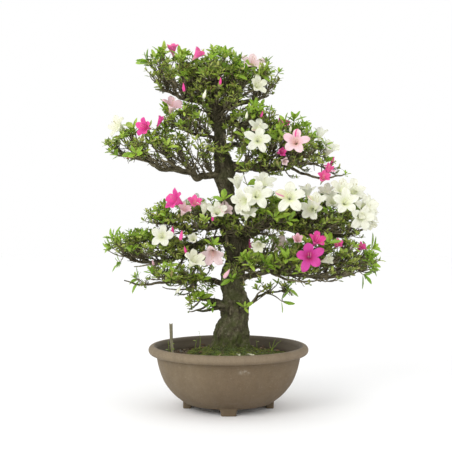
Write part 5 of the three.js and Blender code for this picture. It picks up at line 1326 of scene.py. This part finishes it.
def petal_finish(name, colours, threads, rough, glow):
    """Thin petals: `colours` is the colour for hue 0, for hue 1, of the throat and of the stripes or flecks.
    The hue comes with each petal, fine veins fan out along it, and light comes through it by `glow`."""
    plain, rich, throat, flecks = colours
    petal, tree, shader, place = finish(name)
    v, u, part, hue = marks(tree)
    richness = ramp(tree, hue, (0.0, 0.0), (0.5, 0.5), (0.55, 1.0), (0.86, 1.0), (0.92, 0.2))
    colour = blend(tree, richness, plain, rich)
    soft = noise(tree, place, 90.0, 3.0)
    colour = blend(tree, ramp(tree, soft, (0.35, 0.5), (0.65, 0.0)), colour, (0.84, 0.80, 0.78), "MULTIPLY")
    flat = node(tree, "CombineXYZ", {"X": u, "Y": v}).outputs[0]
    veins = noise(tree, drawn_in(tree, flat, (22, 1.6, 1)), 1.0, 3.0)
    colour = blend(tree, ramp(tree, veins, (0.50, 0.0), (0.62, 0.8)), colour, (0.82, 0.78, 0.74), "MULTIPLY")
    middle = ramp(tree, u, (0.34, 0.0), (0.5, 1.0), (0.66, 0.0))
    deep = times(tree, ramp(tree, v, (0.24, 1.0), (0.50, 0.0)), blend(tree, 0.55, middle, (1, 1, 1)))
    colour = blend(tree, deep, colour, throat)
    # Hues over 0.7 carry a stripe beside the midrib, and those over 0.92 a flecked blotch.
    band = times(tree, ramp(tree, u, (0.56, 0.0), (0.60, 1.0), (0.72, 1.0), (0.78, 0.0)),
                 ramp(tree, v, (0.35, 0.0), (0.5, 1.0)))
    striped = times(tree, ramp(tree, hue, (0.70, 0.0), (0.74, 1.0)), band)
    colour = blend(tree, striped, colour, flecks)
    dots = node(tree, "TexVoronoi", {"Vector": drawn_in(tree, flat, (15, 26, 1)), "Scale": 1.0})
    blotch = times(tree, ramp(tree, v, (0.42, 0.0), (0.52, 1.0), (0.72, 0.8), (0.82, 0.0)),
                   ramp(tree, u, (0.16, 0.0), (0.32, 1.0), (0.68, 1.0), (0.84, 0.0)))
    blotch = times(tree, ramp(tree, dots.outputs["Distance"], (0.25, 1.0), (0.42, 0.25)), blotch)
    blotched = times(tree, blotch, ramp(tree, hue, (0.92, 0.0), (0.96, 1.0)))
    colour = blend(tree, blotched, colour, flecks)
    colour = blend(tree, ramp(tree, part, (0.2, 0.0), (0.3, 1.0)), colour, threads)
    colour = blend(tree, ramp(tree, part, (0.5, 0.0), (0.55, 1.0)), colour, (0.46, 0.40, 0.20))
    colour = blend(tree, ramp(tree, part, (0.8, 0.0), (0.9, 1.0)), colour, (0.165, 0.225, 0.050))
    relief = blend(tree, 0.5, veins, noise(tree, place, 700.0, 3.0))
    dress(tree, shader, colour, ramp(tree, veins, (0.3, rough), (0.7, rough + 0.15)), (relief, 0.35, 0.0006),
          {"Specular IOR Level": 0.25, "Sheen Weight": 0.1, "Subsurface Weight": glow,
           "Subsurface Radius": (0.003, 0.003, 0.003), "Subsurface Scale": 1.0})
    return petal


WHITE, MAGENTA, PINK = ("petals_white", "petals_magenta", "petals_pink")
# Each finish: its four colours, the colour of its threads, how rough it is, and how much light comes through.
PETAL_LOOKS = {
    WHITE: (((0.86, 0.88, 0.72), (0.80, 0.79, 0.50), (0.80, 0.86, 0.44), (0.72, 0.22, 0.38)),
            (0.84, 0.86, 0.62), 0.55, 0.5),
    MAGENTA: (((0.55, 0.050, 0.300), (0.80, 0.060, 0.330), (0.56, 0.030, 0.200), (0.34, 0.008, 0.09)),
              (0.74, 0.16, 0.40), 0.5, 0.1),
    PINK: (((0.82, 0.67, 0.67), (0.88, 0.105, 0.380), (0.84, 0.62, 0.50), (0.70, 0.060, 0.26)),
           (0.80, 0.50, 0.46), 0.52, 0.15)}
PETALS = {name: petal_finish(name, *looks) for name, looks in PETAL_LOOKS.items()}
# A colour is a finish, and the hue of each of its five petals, the first of which stands uppermost.
# The cream tint: white petals shifted to yellow green, partly cream flowers and buds, partly painted shade on
# white flowers that face away or sit in the shade of the crown.
COLOURS = {"white": (WHITE, 5 * (0,)), "cream": (WHITE, 5 * (0.3,)), "striped": (WHITE, (0, 0.8, 0, 0, 0)),
           "magenta": (MAGENTA, (0.52, 0.6, 0.5, 0.56, 0.6)), "purple": (MAGENTA, (0.05, 0.12, 0, 0.1, 0.05)),
           "pink": (PINK, (0.60, 0.62, 0.58, 0.64, 0.60)), "shell": (PINK, (0.05, 0.02, 0.08, 0.03, 0.04)),
           "blotched": (PINK, (1.0, 0.20, 0.12, 0.12, 0.20)), "faded": (PINK, (0.20, 0.26, 0.15, 0.24, 0.17)),
           "coral": (PINK, (0.34, 0.3, 0.36, 0.32, 0.3))}


def stood(points, at, facing, size, roll):
    """Points of an upright form turned so that its axis lies along `facing` and its x side looks up."""
    axis = unit(facing)
    side = np.array([0.05, 0.2, 1.0]) - axis * (axis @ (0.05, 0.2, 1.0))
    side = unit(side) if np.linalg.norm(side) > 0.35 else unit(np.cross(axis, (0.2, 1.0, 0.1)))
    side = side * np.cos(roll) + np.cross(axis, side) * np.sin(roll)
    return np.asarray(at, float) + size * (points @ np.stack([side, np.cross(axis, side), axis]))


gathered = {WHITE: [], MAGENTA: [], PINK: []}
for k, (name, colour, mouth, facing, size, opened) in enumerate(FLOWERS):
    rng = np.random.default_rng(500 + k)
    finish_name, hue = COLOURS[colour]
    star = petals(opened, rng, np.roll(hue, k % 2 if colour == "striped" else 0))
    core = inside_and_stalk(opened, rng, min(hue[1], 0.6))
    points, faces, tint = together(star, core)
    points = stood(points, mouth, facing, size, rng.normal(0, 0.12))
    if name in MODEL_FLOWERS:
        make_piece(name, points, faces, PETALS[finish_name], finish_name, [name], 60, tint=tint)
    else:
        gathered[finish_name].append((points, faces, tint))


def bud(length, hue):
    """A furled bud: rings of radius r(z) (1 + 0.16 cos(5 a + twist z)), fat below the middle and drawn to a
    point, in a green cup."""
    t = np.linspace(0, 1, 15)
    a = circle(20)
    r = length * 0.19 * np.sin(np.pi * (0.16 + 0.80 * t) ** 0.9) * (1 - 0.42 * t)
    wide = r[:, None] * (1 + 0.16 * np.cos(5 * a + 5 * t[:, None]))
    z = (t - 1) * length
    body = tubes(np.stack([0.6 * np.sin(2 * t), 0 * t, z], -1)[None], wide[None], len(a))
    cup_z = -length + np.array([-6.0, -2.5, -0.4, 0.8, 2.2, 3.4])
    cup = ribbed_cup(cup_z, np.array([0.7, 0.7, 1.3, 2.0, 2.3, 2.1]) * length / 18, a)
    made = []
    for (points, faces, _), part in ((body, 0.0), (cup, 1.0)):
        v = np.clip(1 + points[:, 2] / length, 0, 1)
        made.append((points, faces, tinted(0.6 + 0.4 * v, 0.2, part, hue)))
    return together(*made)


for k, (colour, tip, facing, length) in enumerate(BUDS):
    finish_name, hue = COLOURS[colour]
    points, faces, tint = bud(length, hue[1])
    gathered[finish_name].append((stood(points, tip, facing, 1.0, k * 0.7), faces, tint))
for finish_name, made in gathered.items():
    points, faces, tint = together(*made)
    name = finish_name.replace("petals", "more") + "_flowers"
    make_piece(name, points, faces, PETALS[finish_name], finish_name, smooth_angle=60, tint=tint)


# ---------------------------------------------------------------- litter and weeds
# What lies on the moss and soil: a few stones and curled dead leaves, all loose, and the thin stems of weeds
# that have seeded themselves beside the peg and along the edge.
def ground(x, y):
    """The height of the moss or the soil under a place."""
    return max(float(moss_height(np.array([x]), np.array([y]))[0]), SOIL_TOP)


# Each stone: its place and its size.
STONES = [(-38, -92, 3.6), (-76, -84, 4.2), (-104, -40, 3.2), (-120, -6, 2.8), (-98, 58, 4.4),
          (12, -104, 2.6), (62, -98, 2.9), (104, -54, 3.4), (96, 60, 3.6), (30, 104, 4.0), (-46, 98, 3.2),
          (-122, 30, 3.0), (118, 12, 2.7), (-88, -66, 2.2)]
places = np.array([(x, y, ground(x, y) + 0.55 * size) for x, y, size in STONES])
points, faces = scatter_stones(places, [size for _, _, size in STONES], 91)
stone, tree, shader, place = finish("stones")
each = node(tree, "TexVoronoi", {"Vector": place, "Scale": 16.0}).outputs["Color"]
colour = ramp(tree, each, (0.2, (0.070, 0.062, 0.050)), (0.55, (0.200, 0.185, 0.150)),
              (0.8, (0.400, 0.385, 0.320)))
colour = blend(tree, ramp(tree, noise(tree, place, 520.0, 4.0), (0.5, 0.0), (0.62, 0.5)), colour,
               (0.075, 0.068, 0.050))
rough = ramp(tree, noise(tree, place, 300.0), (0.3, 0.6), (0.7, 0.9))
dress(tree, shader, colour, rough, (noise(tree, place, 900.0, 4.0), 0.5, 0.0005))
make_piece("stones", points, faces, stone, "gravel", smooth_angle=35)

rng = np.random.default_rng(97)
# Place, way, length, tone (0 brown to 1 pale) and curl of the leaves that can be told apart.
LYING = [((32, -62), (0.9, -0.35, -0.1), 23, 1.0, 0.25), ((16, -68), (0.3, -0.7, 0.7), 16, 0.95, 0.9),
         ((-92, -34), (0.7, -0.3, 0.5), 14, 0.45, 0.7), ((-80, -30), (-0.5, -0.4, 0.7), 13, 0.5, 0.8),
         ((-84, -44), (0.9, -0.2, 0.3), 12, 0.3, 0.6), ((-66, -22), (-0.9, 0.1, 0.2), 12, 0.15, 0.5),
         ((-50, -96), (0.3, -0.3, 0.7), 12, 1.0, 0.3), ((-8, -60), (-0.7, -0.5, 0.5), 13, 0.7, 0.9),
         ((84, -70), (0.7, -0.6, 0.1), 12, 0.75, 0.5), ((64, 40), (0.6, 0.6, 0.2), 14, 0.5, 0.5)]
# The other leaves are strewn between the trunk's foot and the rim.
LOOSE, TRUNK_FOOT, STREWN, ABOVE_GROUND = 46, 40, 88, 3.5
r, a = TRUNK_FOOT + STREWN * np.sqrt(rng.random(LOOSE)), rng.uniform(0, 2 * np.pi, LOOSE)
lying_at, lying_way, lying_size, lying_tone, lying_curl = (np.array(column) for column in zip(*LYING))
x, y = np.concatenate([lying_at, np.stack([r * np.cos(a), r * np.sin(a)], -1)]).T
foot = np.stack([x, y, [ground(i, j) + ABOVE_GROUND for i, j in zip(x, y)]], -1)
way = unit(np.concatenate([lying_way, rng.normal(0, 1, (LOOSE, 3)) * (1, 1, 0.16)]))
size = np.concatenate([1.25 * lying_size, rng.uniform(7, 13, LOOSE)])
tone = np.concatenate([lying_tone, rng.random(LOOSE) ** 1.5 * 0.8])
curl = np.concatenate([lying_curl, rng.uniform(-0.2, 0.5, LOOSE)])
face = unit(np.cross(way, np.cross((0.1, 0, 1.0), way)) + rng.normal(0, 0.2, way.shape))
fold = rng.uniform(0.3, 0.9, len(size))
points, faces, tint = leaves(foot, way, face, size, size * 0.4, fold, curl, tone, 0 * tone)
dead, tree, shader, place = finish("fallen_leaves")
colour = ramp(tree, marks(tree)[0], (0.05, (0.085, 0.045, 0.020)), (0.4, (0.230, 0.105, 0.055)),
              (0.7, (0.360, 0.270, 0.160)), (0.95, (0.560, 0.560, 0.400)))
colour = blend(tree, ramp(tree, noise(tree, place, 420.0, 4.0), (0.5, 0.0), (0.65, 0.5)), colour,
               (0.10, 0.06, 0.03))
rough = ramp(tree, noise(tree, place, 500.0), (0.3, 0.6), (0.7, 0.85))
dress(tree, shader, colour, rough, (noise(tree, place, 1300.0), 0.4, 0.0003))
make_piece("fallen_leaves", points, faces, dead, "soil", smooth_angle=40, tint=tint)

# Weeds: foot, the way the stem grows, and its height.
WEEDS = [((-119, 14), (-0.1, 0.0, 1), 30), ((-117, 16), (0.12, -0.1, 1), 24), ((-60, 40), (0.0, 0.0, 1), 40),
         ((88, 18), (0.3, 0.1, 1), 26), ((92, 16), (-0.4, 0.0, 1), 24), ((86, 22), (0.8, 0.1, 0.8), 30),
         ((-70, 104), (0.2, 0.1, 1), 24), ((60, 100), (-0.1, 0.2, 1), 20)]
foot = np.array([(x, y, ground(x, y) - 1) for (x, y), _, _ in WEEDS])
way = unit([grows for _, grows, _ in WEEDS])
tip = foot + way * np.array([height for _, _, height in WEEDS])[:, None]
WEED_ROWS = 12
rng = np.random.default_rng(99)
stems = arcs(foot, tip, unit(way + rng.normal(0, 0.5, way.shape) * (1, 1, 0.1)), WEED_ROWS, rng, 0.3)
points, faces, _ = tubes(stems, np.linspace(0.55, 0.28, WEED_ROWS) * np.ones((len(foot), 1)), 5)
stalk = (points, faces, np.tile([0.5, 0.4, 0.5, 0.5], (len(points), 1)))
# Each small leaf: the weed it grows on, and the row of the stem.
WEED_LEAVES = [(0, 4), (0, 7), (1, 6), (1, 11), (2, 11), (6, 8), (7, 8)]
n = len(WEED_LEAVES)
at = stems[tuple(zip(*WEED_LEAVES))]
ways = unit(rng.normal(0, 1, (n, 3)) * (1, 0.6, 0.3) + (0, -0.3, 0.4))
face = unit(np.cross(ways, np.cross((0, -0.4, 1.0), ways)))
length, width = rng.uniform(6, 9, n), rng.uniform(3, 4, n)
fold, curl, young = (np.full(n, value) for value in (0.3, 0.15, 0.5))
blade = leaves(at, ways, face, length, width, fold, curl, rng.random(n), young)
points, faces, tint = together(stalk, blade)
make_piece("weeds", points, faces, leaf, "leaves", smooth_angle=40, tint=tint)
